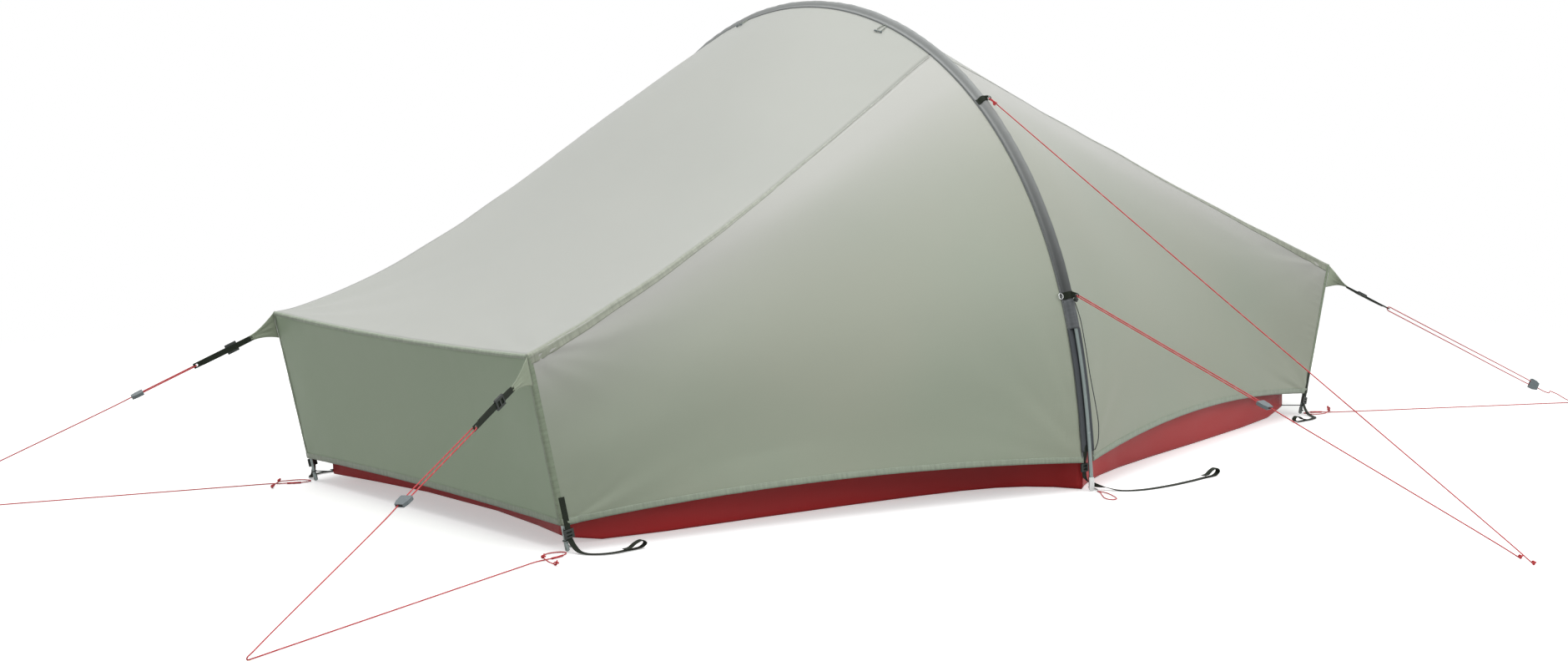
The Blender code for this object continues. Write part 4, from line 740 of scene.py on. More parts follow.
def make_ground():
    """Matt white ground that catches the tent's soft shadow, and fades to pure white away from it."""
    form = bmesh.new()
    bmesh.ops.create_grid(form, x_segments=2, y_segments=2, size=GROUND_HALF)
    bmesh.ops.translate(form, verts=form.verts[:], vec=(0, 0, -GROUND_DROP))
    mesh = bpy.data.meshes.new("studio_floor")
    form.to_mesh(mesh)
    form.free()
    ground = bpy.data.objects.new("studio_floor", mesh)
    bpy.context.scene.collection.objects.link(ground)
    paint = bpy.data.materials.new("matt_white_paint")
    paint.use_nodes = True
    tree = paint.node_tree
    tree.nodes.clear()
    white = colour("#FFFFFF")
    shade = node(tree, "Mix", {0: seen_directly(tree), 6: colour(BOUNCE_GREY), 7: white}, data_type="RGBA")
    matt = node(tree, "BsdfDiffuse", {"Color": shade.outputs[2]})
    glow = node(tree, "Emission", {"Color": white, "Strength": GROUND_GLOW})
    lit = node(tree, "AddShader", {0: matt.outputs[0], 1: glow.outputs[0]})
    middle = {0: node(tree, "TexCoord").outputs["Object"], 1: SHADOW_MIDDLE}
    reach = node(tree, "VectorMath", middle, operation="DISTANCE").outputs["Value"]
    near_by, far_off = SHADOW_REACH
    away = node(tree, "MapRange", {0: reach, 1: near_by, 2: far_off}, interpolation_type="SMOOTHSTEP")
    backdrop = node(tree, "Emission", {"Color": white, "Strength": 1.0})
    shown = node(tree, "MixShader", {0: away.outputs[0], 1: lit.outputs[0], 2: backdrop.outputs[0]})
    mixed = node(tree, "MixShader", {0: seen_directly(tree), 1: matt.outputs[0], 2: shown.outputs[0]})
    out = node(tree, "OutputMaterial")
    tree.links.new(mixed.outputs[0], out.inputs[0])
    mesh.materials.append(paint)


def make_lamps():
    for name, spot, size, power, aim in LAMPS:
        data = bpy.data.lights.new(name, "AREA")
        data.shape = "RECTANGLE"
        data.size, data.size_y = size
        data.energy = power
        lamp = bpy.data.objects.new(name, data)
        bpy.context.scene.collection.objects.link(lamp)
        way = Vector(spot) - Vector(aim)
        lamp.matrix_world = Matrix.Translation(spot) @ way.to_track_quat("Z", "Y").to_matrix().to_4x4()


def make_studio():
    bpy.context.scene.view_settings.view_transform = "Standard"
    make_world()
    make_ground()
    make_lamps()


# Materials

def shader(name, base, roughness, metallic=0.0, **sockets):
    """A material with its Principled shader, whose constant values are set on its own sockets."""
    made = bpy.data.materials.new(name)
    made.use_nodes = True
    tree = made.node_tree
    surface = tree.nodes["Principled BSDF"]
    surface.inputs["Base Color"].default_value = colour(base)
    surface.inputs["Roughness"].default_value = roughness
    surface.inputs["Metallic"].default_value = metallic
    for socket, value in sockets.items():
        surface.inputs[socket.replace("_", " ")].default_value = value
    return made, tree, surface


def cloth_place(tree):
    """The piece's own cloth map, in metres, as one vector."""
    return node(tree, "UVMap", uv_map="cloth").outputs["UV"]


def cloth_ways(tree):
    """How far across the piece's cloth map and how far along it, in metres."""
    split = node(tree, "SeparateXYZ", {0: cloth_place(tree)})
    return split.outputs[0], split.outputs[1]


def lines_across(tree, value, spacing, share):
    """1 on lines this far apart, in metres, and 0 between them. The lines take that share of the spacing."""
    scaled = node(tree, "Math", {0: value, 1: 1 / spacing}, operation="MULTIPLY")
    part = node(tree, "Math", {0: scaled.outputs[0]}, operation="FRACT")
    return node(tree, "Math", {0: part.outputs[0], 1: share}, operation="LESS_THAN").outputs[0]


def ridges(tree, value, spacing):
    """A smooth rise and fall from 0 to 1, this far apart in metres."""
    scaled = node(tree, "Math", {0: value, 1: 2 * math.pi / spacing}, operation="MULTIPLY")
    wave = node(tree, "Math", {0: scaled.outputs[0]}, operation="SINE")
    return node(tree, "MapRange", {0: wave.outputs[0], 1: -1.0, 2: 1.0, 3: 0.0, 4: 1.0}).outputs[0]


def with_painted_light(tree, dyed, lit_colour, by_height, by_seam=0.0, start=0.0):
    """The dyed colour turned towards a paler colour as painted light: more with the height, and more
    beside the seam where u is 0."""
    up = node(tree, "SeparateXYZ", {0: node(tree, "TexCoord").outputs["Object"]}).outputs[2]
    away = node(tree, "SeparateXYZ", {0: cloth_place(tree)}).outputs[0]
    nearness = node(tree, "Math", {0: math.exp(-1 / PAINTED_LIGHT_SEAM_REACH), 1: away}, operation="POWER").outputs[0]
    share = node(tree, "Math", {0: up, 1: by_height, 2: start}, operation="MULTIPLY_ADD").outputs[0]
    share = node(tree, "Math", {0: nearness, 1: by_seam, 2: share}, operation="MULTIPLY_ADD", use_clamp=True)
    return node(tree, "Mix", {0: share.outputs[0], 6: dyed, 7: colour(lit_colour)}, data_type="RGBA").outputs[2]


def ripstop(
        name, deep, pale, sheen, roughness, square_mm=6.0, thread_mm=1.4, fade=0.5, painted_light=(), shine=0.42):
    """Coated ripstop nylon. A square net of thicker threads, a faint plain weave between them, soft tonal
    patches and streaks, and a soft sheen from its coating. The real threads lie 0.2 mm apart, and are
    drawn coarser so that they show."""
    made, tree, surface = shader(
        name, deep, roughness, Sheen_Weight=sheen, Sheen_Roughness=0.42, Specular_IOR_Level=shine)
    place = cloth_place(tree)
    split = node(tree, "SeparateXYZ", {0: place})
    across, along = split.outputs[0], split.outputs[1]
    net = node(tree, "Math", {
        0: lines_across(tree, across, square_mm / 1000, 0.14),
        1: lines_across(tree, along, square_mm / 1000, 0.14),
    }, operation="MAXIMUM").outputs[0]
    weave = node(tree, "Math", {
        0: ridges(tree, across, thread_mm / 1000),
        1: ridges(tree, along, thread_mm / 1000),
    }, operation="MULTIPLY").outputs[0]
    spots = node(tree, "TexCoord").outputs["Object"]
    patches = node(tree, "TexNoise", {"Vector": spots, "Scale": 2.3, "Detail": 3.0, "Roughness": 0.45})
    slubs = node(tree, "Mapping", {"Vector": place, "Scale": (420.0, 9.0, 1.0)})
    streaks = node(tree, "TexNoise", {"Vector": slubs.outputs[0], "Scale": 1.0, "Detail": 2.0})
    tone = node(tree, "MapRange", {0: patches.outputs[0], 1: 0.36, 2: 0.64, 3: 0.0, 4: fade})
    tone = node(tree, "Math", {0: streaks.outputs[0], 1: 0.16, 2: tone.outputs[0]}, operation="MULTIPLY_ADD")
    tone = node(tree, "Math", {0: net, 1: 0.10, 2: tone.outputs[0]}, operation="MULTIPLY_ADD", use_clamp=True)
    dyed = node(tree, "Mix", {0: tone.outputs[0], 6: colour(deep), 7: colour(pale)}, data_type="RGBA")
    dyed = dyed.outputs[2]
    # Painted light: the colour turns paler higher up and beside the seam.
    if painted_light:
        dyed = with_painted_light(tree, dyed, *painted_light)
    tree.links.new(dyed, surface.inputs["Base Color"])
    gloss = node(tree, "MapRange", {0: patches.outputs[0], 3: roughness - 0.07, 4: roughness + 0.09})
    tree.links.new(gloss.outputs[0], surface.inputs["Roughness"])
    threads = node(tree, "Math", {0: net, 1: 0.6, 2: weave}, operation="MULTIPLY_ADD").outputs[0]
    height = node(tree, "Math", {0: streaks.outputs[0], 1: 0.5, 2: threads}, operation="MULTIPLY_ADD")
    bump = node(tree, "Bump", {"Strength": 0.30, "Distance": 0.0002, "Height": height.outputs[0]})
    tree.links.new(bump.outputs[0], surface.inputs["Normal"])
    return made


def stitched(name, deep, thread, roughness, row_places, sheen=0.12, stitch_mm=4.5, painted_light=()):
    """A folded strip of the same cloth with rows of lockstitch. Real stitches are 3 mm long, and are drawn
    longer so that they show. The doubled cloth is a shade deeper, and puckers between the stitches, with
    painted shade in their hollows and painted light on their crests."""
    made, tree, surface = shader(name, deep, roughness, Sheen_Weight=sheen, Sheen_Roughness=0.42)
    across, along = cloth_ways(tree)
    dash = lines_across(tree, along, stitch_mm / 1000, 0.68)
    rows = None
    for place in row_places:
        off = node(tree, "Math", {0: across, 1: place, 2: 0.00045}, operation="COMPARE").outputs[0]
        row = node(tree, "Math", {0: off, 1: dash}, operation="MULTIPLY").outputs[0]
        rows = row if rows is None else node(tree, "Math", {0: rows, 1: row}, operation="MAXIMUM").outputs[0]
    pucker = node(tree, "Mapping", {"Vector": cloth_place(tree), "Scale": (30.0, 160.0, 1.0)})
    puckers = node(tree, "TexNoise", {"Vector": pucker.outputs[0], "Scale": 1.0, "Detail": 2.0})
    # Painted shade: the puckers' hollows are drawn darker and their crests paler.
    soft = node(tree, "MapRange", {0: puckers.outputs[0], 1: 0.3, 2: 0.7, 3: 0.86, 4: 1.12})
    dyed = colour(deep)[:3]
    # Painted light: the colour turns paler higher up.
    if painted_light:
        dyed = with_painted_light(tree, colour(deep), *painted_light)
    cloth = node(tree, "VectorMath", {0: dyed, "Scale": soft.outputs[0]}, operation="SCALE")
    sewn = node(tree, "Mix", {0: rows, 6: cloth.outputs[0], 7: colour(thread)}, data_type="RGBA")
    tree.links.new(sewn.outputs[2], surface.inputs["Base Color"])
    height = node(tree, "Math", {0: rows, 1: 0.8, 2: puckers.outputs[0]}, operation="MULTIPLY_ADD")
    bump = node(tree, "Bump", {"Strength": 0.55, "Distance": 0.0006, "Height": height.outputs[0]})
    tree.links.new(bump.outputs[0], surface.inputs["Normal"])
    return made


def webbing_weave(name, deep, pale):
    """Woven polyamide webbing. Slanting ribs run across it, over cords that run along it, and its worn
    high threads are paler."""
    made, tree, surface = shader(name, deep, 0.78, Sheen_Weight=0.10, Specular_IOR_Level=0.25)
    across, along = cloth_ways(tree)
    slant = node(tree, "Math", {0: across, 1: 0.9, 2: along}, operation="MULTIPLY_ADD").outputs[0]
    ribs = ridges(tree, slant, 0.0021)
    cords = ridges(tree, across, 0.0024)
    height = node(tree, "Math", {0: ribs, 1: cords}, operation="MULTIPLY").outputs[0]
    spots = node(tree, "TexCoord").outputs["Object"]
    worn = node(tree, "TexNoise", {"Vector": spots, "Scale": 60.0, "Detail": 3.0})
    share = node(tree, "Math", {0: height, 1: worn.outputs[0]}, operation="MULTIPLY", use_clamp=True)
    dyed = node(tree, "Mix", {0: share.outputs[0], 6: colour(deep), 7: colour(pale)}, data_type="RGBA")
    tree.links.new(dyed.outputs[2], surface.inputs["Base Color"])
    bump = node(tree, "Bump", {"Strength": 0.7, "Distance": 0.0004, "Height": height})
    tree.links.new(bump.outputs[0], surface.inputs["Normal"])
    return made


def braid(name, deep, pale, fleck):
    """Braided polyester cord. Two shades of yarn cross round it at 45 degrees, with a pale tracer yarn."""
    made, tree, surface = shader(name, deep, 0.55, Sheen_Weight=0.2, Sheen_Roughness=0.4)
    across, along = cloth_ways(tree)
    left = node(tree, "Math", {0: across, 1: along}, operation="ADD").outputs[0]
    right = node(tree, "Math", {0: across, 1: along}, operation="SUBTRACT").outputs[0]
    first, second = ridges(tree, left, 0.0026), ridges(tree, right, 0.0026)
    height = node(tree, "Math", {0: first, 1: second}, operation="MAXIMUM").outputs[0]
    dyed = node(tree, "Mix", {0: first, 6: colour(deep), 7: colour(pale)}, data_type="RGBA")
    tracer = lines_across(tree, left, 0.0130, 0.16)
    traced = node(tree, "Mix", {0: tracer, 6: dyed.outputs[2], 7: colour(fleck)}, data_type="RGBA")
    tree.links.new(traced.outputs[2], surface.inputs["Base Color"])
    bump = node(tree, "Bump", {"Strength": 0.6, "Distance": 0.0003, "Height": height})
    tree.links.new(bump.outputs[0], surface.inputs["Normal"])
    return made


def anodised(name, base, worn_colour, roughness):
    """Drawn and anodised aluminium tube. Fine drawing lines, a soft uneven gloss and pale rubbed spots."""
    made, tree, surface = shader(name, base, roughness, metallic=1.0)
    spots = node(tree, "TexCoord").outputs["Object"]
    drawn = node(tree, "Mapping", {"Vector": spots, "Scale": (900.0, 900.0, 14.0)})
    grain = node(tree, "TexNoise", {"Vector": drawn.outputs[0], "Scale": 1.0, "Detail": 2.0})
    rubs = node(tree, "TexNoise", {"Vector": spots, "Scale": 85.0, "Detail": 5.0, "Roughness": 0.7})
    share = node(tree, "MapRange", {0: rubs.outputs[0], 1: 0.60, 2: 0.72, 3: 0.0, 4: 0.7})
    shades = {0: share.outputs[0], 6: colour(base), 7: colour(worn_colour)}
    metal = node(tree, "Mix", shades, data_type="RGBA")
    tree.links.new(metal.outputs[2], surface.inputs["Base Color"])
    gloss = node(tree, "MapRange", {0: grain.outputs[0], 3: roughness - 0.06, 4: roughness + 0.10})
    tree.links.new(gloss.outputs[0], surface.inputs["Roughness"])
    bump = node(tree, "Bump", {"Strength": 0.25, "Distance": 0.0001, "Height": grain.outputs[0]})
    tree.links.new(bump.outputs[0], surface.inputs["Normal"])
    return made


def moulded(name, base, worn_colour, roughness):
    """Moulded acetal plastic. A fine spark-eroded grain, and paler scuffs in patches."""
    made, tree, surface = shader(name, base, roughness)
    spots = node(tree, "TexCoord").outputs["Object"]
    grain = node(tree, "TexNoise", {"Vector": spots, "Scale": 1600.0, "Detail": 2.0})
    scuffs = node(tree, "TexNoise", {"Vector": spots, "Scale": 220.0, "Detail": 4.0, "Roughness": 0.65})
    share = node(tree, "MapRange", {0: scuffs.outputs[0], 1: 0.55, 2: 0.75, 3: 0.0, 4: 0.6})
    dyed = node(tree, "Mix", {0: share.outputs[0], 6: colour(base), 7: colour(worn_colour)}, data_type="RGBA")
    tree.links.new(dyed.outputs[2], surface.inputs["Base Color"])
    gloss = node(tree, "MapRange", {0: scuffs.outputs[0], 3: roughness - 0.05, 4: roughness + 0.12})
    tree.links.new(gloss.outputs[0], surface.inputs["Roughness"])
    bump = node(tree, "Bump", {"Strength": 0.3, "Distance": 0.0001, "Height": grain.outputs[0]})
    tree.links.new(bump.outputs[0], surface.inputs["Normal"])
    return made


def zip_coil(name, base, tooth):
    """Nylon coil zip on its woven tape. The row of teeth runs down the middle of the tape, one every 3 mm,
    which is drawn coarser than a real coil so that it shows."""
    made, tree, surface = shader(name, base, 0.6)
    across, along = cloth_ways(tree)
    middle = node(tree, "Math", {0: across, 1: 0.006, 2: 0.0017}, operation="COMPARE").outputs[0]
    teeth = ridges(tree, along, 0.0030)
    raised = node(tree, "Math", {0: middle, 1: teeth}, operation="MULTIPLY").outputs[0]
    dyed = node(tree, "Mix", {0: raised, 6: colour(base), 7: colour(tooth)}, data_type="RGBA")
    tree.links.new(dyed.outputs[2], surface.inputs["Base Color"])
    woven = ridges(tree, across, 0.0011)
    height = node(tree, "Math", {0: woven, 1: 0.2, 2: raised}, operation="MULTIPLY_ADD")
    bump = node(tree, "Bump", {"Strength": 0.8, "Distance": 0.0006, "Height": height.outputs[0]})
    tree.links.new(bump.outputs[0], surface.inputs["Normal"])
    return made


# Painted light: the fly's side cloth turns paler higher up and beside the roof seam.
FLY_CLOTH = ripstop(
    "silicone_ripstop_nylon_sage", "#98A48F", "#A5A996", 0.34, 0.46, painted_light=("#BCBDB7", 0.34, 1.10))
# Painted light and shade: a paler, greyer copy of the fly's cloth for the roof, which is painted light, and a
# greener copy for the end walls, which is painted shade.
ROOF_CLOTH = ripstop("silicone_ripstop_nylon_sunlit", "#ADB0A9", "#B6B8B1", 0.34, 0.46, fade=0.4)
END_CLOTH = ripstop("silicone_ripstop_nylon_shaded", "#9FB296", "#A9B89F", 0.30, 0.50, fade=0.4)
TAB_CLOTH = ripstop("silicone_ripstop_nylon_tab", "#9BA78F", "#ABB4A0", 0.30, 0.50, square_mm=5.0)
# Painted light: the door's cloth turns paler higher up and beside the roof seam.
DOOR_CLOTH = ripstop(
    "silicone_ripstop_nylon_door", "#98A38F", "#A4A895", 0.34, 0.46, painted_light=("#BBBCB6", 0.34, 1.10))
# Painted light: this seam turns paler higher up.
FLY_SEAM = stitched(
    "felled_seam_sage", "#909B87", "#7F8879", 0.50, (0.0016, 0.0064), sheen=0.30,
    painted_light=("#B4B6B1", 1.1, 0.0, -0.12))
# Painted light: this seam turns paler higher up.
ROOF_SEAM = stitched(
    "felled_seam_roof", "#9BA18F", "#8E9486", 0.52, (0.0060, 0.0140), sheen=0.25,
    painted_light=("#B7B9B2", 1.5, 0.0, -0.5))
CORNER_SEAM = stitched("felled_seam_corner", "#89967F", "#828E79", 0.54, (0.0050, 0.0150), sheen=0.20)
END_SEAM = stitched("felled_seam_end", "#A3AE9B", "#8B9684", 0.52, (0.0060, 0.0140), sheen=0.25)
# Painted light: the hem turns paler higher up.
FLY_HEM = stitched(
    "turned_hem_sage", "#94A08C", "#808A7B", 0.50, (0.0110,), sheen=0.30, painted_light=("#B9BBB6", 0.66))
# Painted light: the sleeve turns paler higher up.
SLEEVE_CLOTH = ripstop(
    "polyester_sleeve_grey", "#474A4B", "#515455", 0.05, 0.78, square_mm=3.2, thread_mm=1.0,
    painted_light=("#9EA1A0", 2.2, 0.0, -0.80), shine=0.15)
SLEEVE_BAND = ripstop(
    "polyester_band_grey", "#53575C", "#5E6265", 0.05, 0.75, square_mm=2.6, thread_mm=0.9, shine=0.15)
PIPING = stitched("sleeve_piping_dark", "#6A6E6E", "#505455", 0.70, (0.0021,), sheen=0.05)
MOUTH_BINDING = stitched("mouth_binding_grey", "#63676A", "#565A5C", 0.7, (0.010, 0.030), sheen=0.05)
FLOOR_CLOTH = ripstop("coated_groundsheet_red", "#B4181A", "#C42122", 0.05, 0.48, square_mm=5.0, fade=0.7)
INNER_CLOTH = ripstop("breathable_nylon_pale", "#D3D0C4", "#E2DFD3", 0.12, 0.65, square_mm=4.0)
INNER_BINDING = stitched("doorway_binding", "#8B8E86", "#5D605A", 0.65, (0.0020, 0.0080))
WEBBING = webbing_weave("polyamide_webbing_dark", "#192017", "#3A4632")
RED_CORD = braid("braided_cord_red", "#C4262D", "#D03A3E", "#D9666A")
DARK_CORD = braid("braided_cord_dark", "#1B2020", "#2A3030", "#4A504E")
ELASTIC = braid("covered_elastic_grey", "#6E776D", "#8C9489", "#B8BDB2")
FLOOR_ELASTIC = braid("covered_elastic_dark", "#23292A", "#394040", "#5C6462")
POLE_ALLOY = anodised("anodised_tube_grey_green", "#7F8A88", "#B9BFBC", 0.34)
BRIGHT_ALLOY = anodised("bare_alloy", "#C6C9C8", "#E4E6E5", 0.30)
DARK_PLASTIC = moulded("moulded_acetal_dark", "#1A211D", "#3C463F", 0.42)
LOCK_PLASTIC = moulded("moulded_acetal_grey", "#6C7679", "#8F989A", 0.44)
ZIP_TAPE = zip_coil("coil_zip_grey", "#5B6160", "#9AA09C")


# Making pieces

def length_of(points):
    return runs_of(points)[-1]


def map_size(place_at):
    """The surface's width along u and its length along v, in metres, through its middle."""
    steps = [step / 16 for step in range(17)]
    width = length_of([place_at(step, 0.5) for step in steps])
    return width, length_of([place_at(0.5, step) for step in steps])


def to_object(name, form, material, smooth=True):
    mesh = bpy.data.meshes.new(name)
    form.to_mesh(mesh)
    form.free()
    mesh.materials.append(material)
    mesh.polygons.foreach_set("use_smooth", [smooth] * len(mesh.polygons))
    thing = bpy.data.objects.new(name, mesh)
    bpy.context.scene.collection.objects.link(thing)
    return thing


def thicken(piece, thickness, offset=0.0):
    """Gives the cloth its thickness: an offset of 1 puts all of it on the outer side."""
    shell = piece.modifiers.new("thickness", "SOLIDIFY")
    shell.thickness = thickness
    shell.offset = offset


def cloth(
        name, columns, rows, place_at, material, outward=None, thickness=0.0, keep=None, weld=0.0, size=None):
    """A cloth over the surface place_at(u, v), with a cloth map in metres. outward is the way its outer face
    looks, and thickness is added on that side."""
    form = bmesh.new()
    chart = form.loops.layers.uv.new("cloth")
    bmesh.ops.create_grid(form, x_segments=columns, y_segments=rows, size=0.5)
    if keep:
        middles = [(face, face.calc_center_median()) for face in form.faces]
        dropped = [face for face, middle in middles if not keep(middle.x + 0.5, middle.y + 0.5)]
        bmesh.ops.delete(form, geom=dropped, context="FACES")
    width, length = size or map_size(place_at)
    for face in form.faces:
        for corner in face.loops:
            corner[chart].uv = ((corner.vert.co.x + 0.5) * width, (corner.vert.co.y + 0.5) * length)
    for vertex in form.verts:
        vertex.co = place_at(vertex.co.x + 0.5, vertex.co.y + 0.5)
    if weld:
        bmesh.ops.remove_doubles(form, verts=form.verts[:], dist=weld)
        bmesh.ops.dissolve_degenerate(form, dist=weld, edges=form.edges[:])
    form.normal_update()
    if outward is None:
        bmesh.ops.recalc_face_normals(form, faces=form.faces[:])
    else:
        facing = sum((face.normal * face.calc_area() for face in form.faces), Vector())
        if facing.dot(outward) < 0:
            bmesh.ops.reverse_faces(form, faces=form.faces[:])
    thing = to_object(name, form, material)
    if thickness:
        thicken(thing, thickness, 1.0)
    return thing


def dress(piece, body, slot, *nodes):
    """The piece rides on this body and stands for these solids. Its slot is not used."""
    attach(piece, body)
    if nodes:
        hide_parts(*nodes)
    return piece


def along_path(points, ways, widths, lift=0.0):
    """The surface of a flat strap along these points: u across it, v along it."""
    last = len(points) - 1

    def place_at(u, v):
        spot = v * last
        low = min(int(spot), last - 1)
        share = spot - low
        centre = points[low].lerp(points[low + 1], share)
        tangent = (points[low + 1] - points[low]).normalized()
        across = ways[low].lerp(ways[low + 1], share).normalized()
        width = mix(widths[low], widths[low + 1], share)
        up = tangent.cross(across).normalized()
        return centre + across * ((u - 0.5) * width) + up * lift

    return place_at


def strap(name, points, ways, widths, material, thickness=WEBBING_THICKNESS, columns=6, keep=None):
    """Webbing of this thickness along a path. Each way is the direction that its width lies in."""
    surface = along_path(points, ways, widths, -thickness / 2)
    size = (max(widths), length_of(points))
    piece = cloth(name, columns, len(points) - 1, surface, material, None, 0.0, keep, size=size)
    thicken(piece, thickness, 1.0)
    rounding = piece.modifiers.new("selvedge", "BEVEL")
    rounding.width = thickness * 0.3
    rounding.segments = 2
    rounding.limit_method = "ANGLE"
    rounding.angle_limit = math.radians(60)
    return piece


def tube(name, points, diameter, material, sides=8):
    """A round cord along these points, with its ends closed and a cloth map that runs round it and along it.
    """
    way = (points[1] - points[0]).normalized()
    first = way.orthogonal().normalized()
    frames = []
    for place in range(len(points)):
        after = points[min(place + 1, len(points) - 1)]
        before = points[max(place - 1, 0)]
        tangent = (after - before).normalized()
        first = (first - tangent * first.dot(tangent)).normalized()
        frames.append((first.copy(), tangent.cross(first)))
    last = len(points) - 1

    def place_at(u, v):
        spot = min(round(v * last), last)
        one, two = frames[spot]
        turn = 2 * math.pi * u
        return points[spot] + (one * math.cos(turn) + two * math.sin(turn)) * (diameter / 2)

    size = (math.pi * diameter, length_of(points))
    piece = cloth(name, sides, last, place_at, material, None, 0.0, weld=diameter / 60, size=size)
    form = bmesh.new()
    form.from_mesh(piece.data)
    bmesh.ops.holes_fill(form, edges=[edge for edge in form.edges if edge.is_boundary], sides=sides + 2)
    bmesh.ops.recalc_face_normals(form, faces=form.faces[:])
    form.to_mesh(piece.data)
    form.free()
    piece.data.polygons.foreach_set("use_smooth", [True] * len(piece.data.polygons))
    return piece


def ring(name, centre, first, second, radius, wire, material):
    """A round wire ring that lies along two square unit vectors."""
    form = bmesh.new()
    third = first.cross(second)
    bmesh.ops.create_circle(form, segments=10, radius=wire)
    turned = Matrix((first, third, second)).transposed().to_4x4()
    place = Matrix.Translation(centre + first * radius) @ turned
    bmesh.ops.transform(form, verts=form.verts[:], matrix=place)
    bmesh.ops.spin(
        form, geom=form.verts[:] + form.edges[:], cent=centre, axis=third, angle=2 * math.pi,
        steps=28, use_merge=True)
    bmesh.ops.remove_doubles(form, verts=form.verts[:], dist=wire / 50)
    bmesh.ops.recalc_face_normals(form, faces=form.faces[:])
    return to_object(name, form, material)


def rounded_block(name, centre, ways, size, material):
    """A moulded block. ways are its three square directions, and size its extents along them."""
    form = bmesh.new()
    bmesh.ops.create_cube(form, size=1.0)
    place = Matrix([way * extent for way, extent in zip(ways, size)]).transposed().to_4x4()
    place.translation = centre
    bmesh.ops.transform(form, matrix=place, verts=form.verts)
    bmesh.ops.bevel(
        form, geom=form.edges[:], offset=min(size) * 0.3, segments=3, profile=0.5, affect="EDGES",
        material=-1)
    bmesh.ops.recalc_face_normals(form, faces=form.faces)
    return to_object(name, form, material)


def knot(name, centre, way, size, diameter, material):
    """A tight overhand knot of the cord, drawn as a closed trefoil."""
    first = way.orthogonal().normalized()
    second = way.cross(first)
    points = []
    for step in range(37):
        turn = 2 * math.pi * step / 36
        flat_x = math.sin(turn) + 2 * math.sin(2 * turn)
        flat_y = math.cos(turn) - 2 * math.cos(2 * turn)
        level = math.sin(3 * turn)
        points.append(centre + (first * flat_x + way * flat_y) * (size / 6) - second * (level * size / 5))
    return tube(name, points, diameter, material)


# Cords first: their routes are the solids' own

ROUTES = {}


def remember(word, points, counts):
    """Keeps the smooth route of this cord for make_cords."""
    ROUTES[word] = curve_through(points, counts)


def lay_corner_cord(end, side, word, lock_distance):
    """From the line lock up to the strap's hole and back, out to the peg, and along the ground to the
    foot of the corner."""
    corner, way, _, across = corner_frame(end, side)
    hole_distance = STRAP_LENGTH - STRAP_HOLE_MARGIN
    points, counts = strand_points(corner + way * hole_distance, way, across, lock_distance - hole_distance)
    peg = peg_of(end, side)
    foot = strut_ends(end, side)[0]
    away = peg - foot
    away.z = 0
    away.normalize()
    points += [
        peg - way * 0.060 + Z_AXIS * 0.0065,
        peg - way * 0.012 + Z_AXIS * 0.0065,
        peg + away * 0.0025 + Z_AXIS * 0.0052,
        peg + away * 0.0020 + Z_AXIS * 0.0020,
        peg - away * 0.008 + Z_AXIS * CORD_REST,
        peg - away * 0.060 + Z_AXIS * CORD_REST,
    ]
    loop = ground_loop(foot, away, Z_AXIS.cross(away))
    points += loop
    counts += [5, 2, 3, 2, 2, 2] + [6] + [2] * (len(loop) - 1)
    remember(f"corner_cord_{word}", points, counts)


def lay_arch_cords():
    """From the tabs of the near bands to the arch peg."""
    peg = Vector((*ARCH_PEG, 0))
    _, _, hole, way, _, across = band_frame(HIGH_BAND_HEIGHT, NEAR)
    points = [
        hole + way * 0.022 + across * 0.0034,
        hole + way * 0.008 + across * 0.0050,
        hole + way * (CORD_IN_HOLE + HOLE_TURN_OUT) + across * HOLE_TURN_ASIDE,
        hole + way * CORD_IN_HOLE,
        hole + way * (CORD_IN_HOLE + HOLE_TURN_OUT) - across * HOLE_TURN_ASIDE,
        hole + way * 0.010 - across * 0.0048,
        hole + way * 0.030 - across * 0.0012,
        hole + way * 0.080,
        hole.lerp(peg, 0.5),
        peg - way * 0.060 + Z_AXIS * 0.0030,
        peg - way * 0.020 + Z_AXIS * 0.0022,
        peg + Z_AXIS * CORD_REST,
    ]
    remember("arch_cord_high", points, [3, 3, 2, 2, 3, 3, 3, 6, 6, 2, 2])
    _, _, hole, way, _, across = band_frame(MID_BAND_HEIGHT, NEAR)
    points, counts = strand_points(hole, way, across, MID_LOCK)
    beside = Vector((-0.0052, -0.0010, 0))
    points += [peg - way * 0.070 + beside + Z_AXIS * 0.0020, peg - way * 0.026 + beside + Z_AXIS * 0.0004]
    points[-1].z = max(points[-1].z, CORD_REST)
    remember("arch_cord_mid", points, counts + [6, 3])


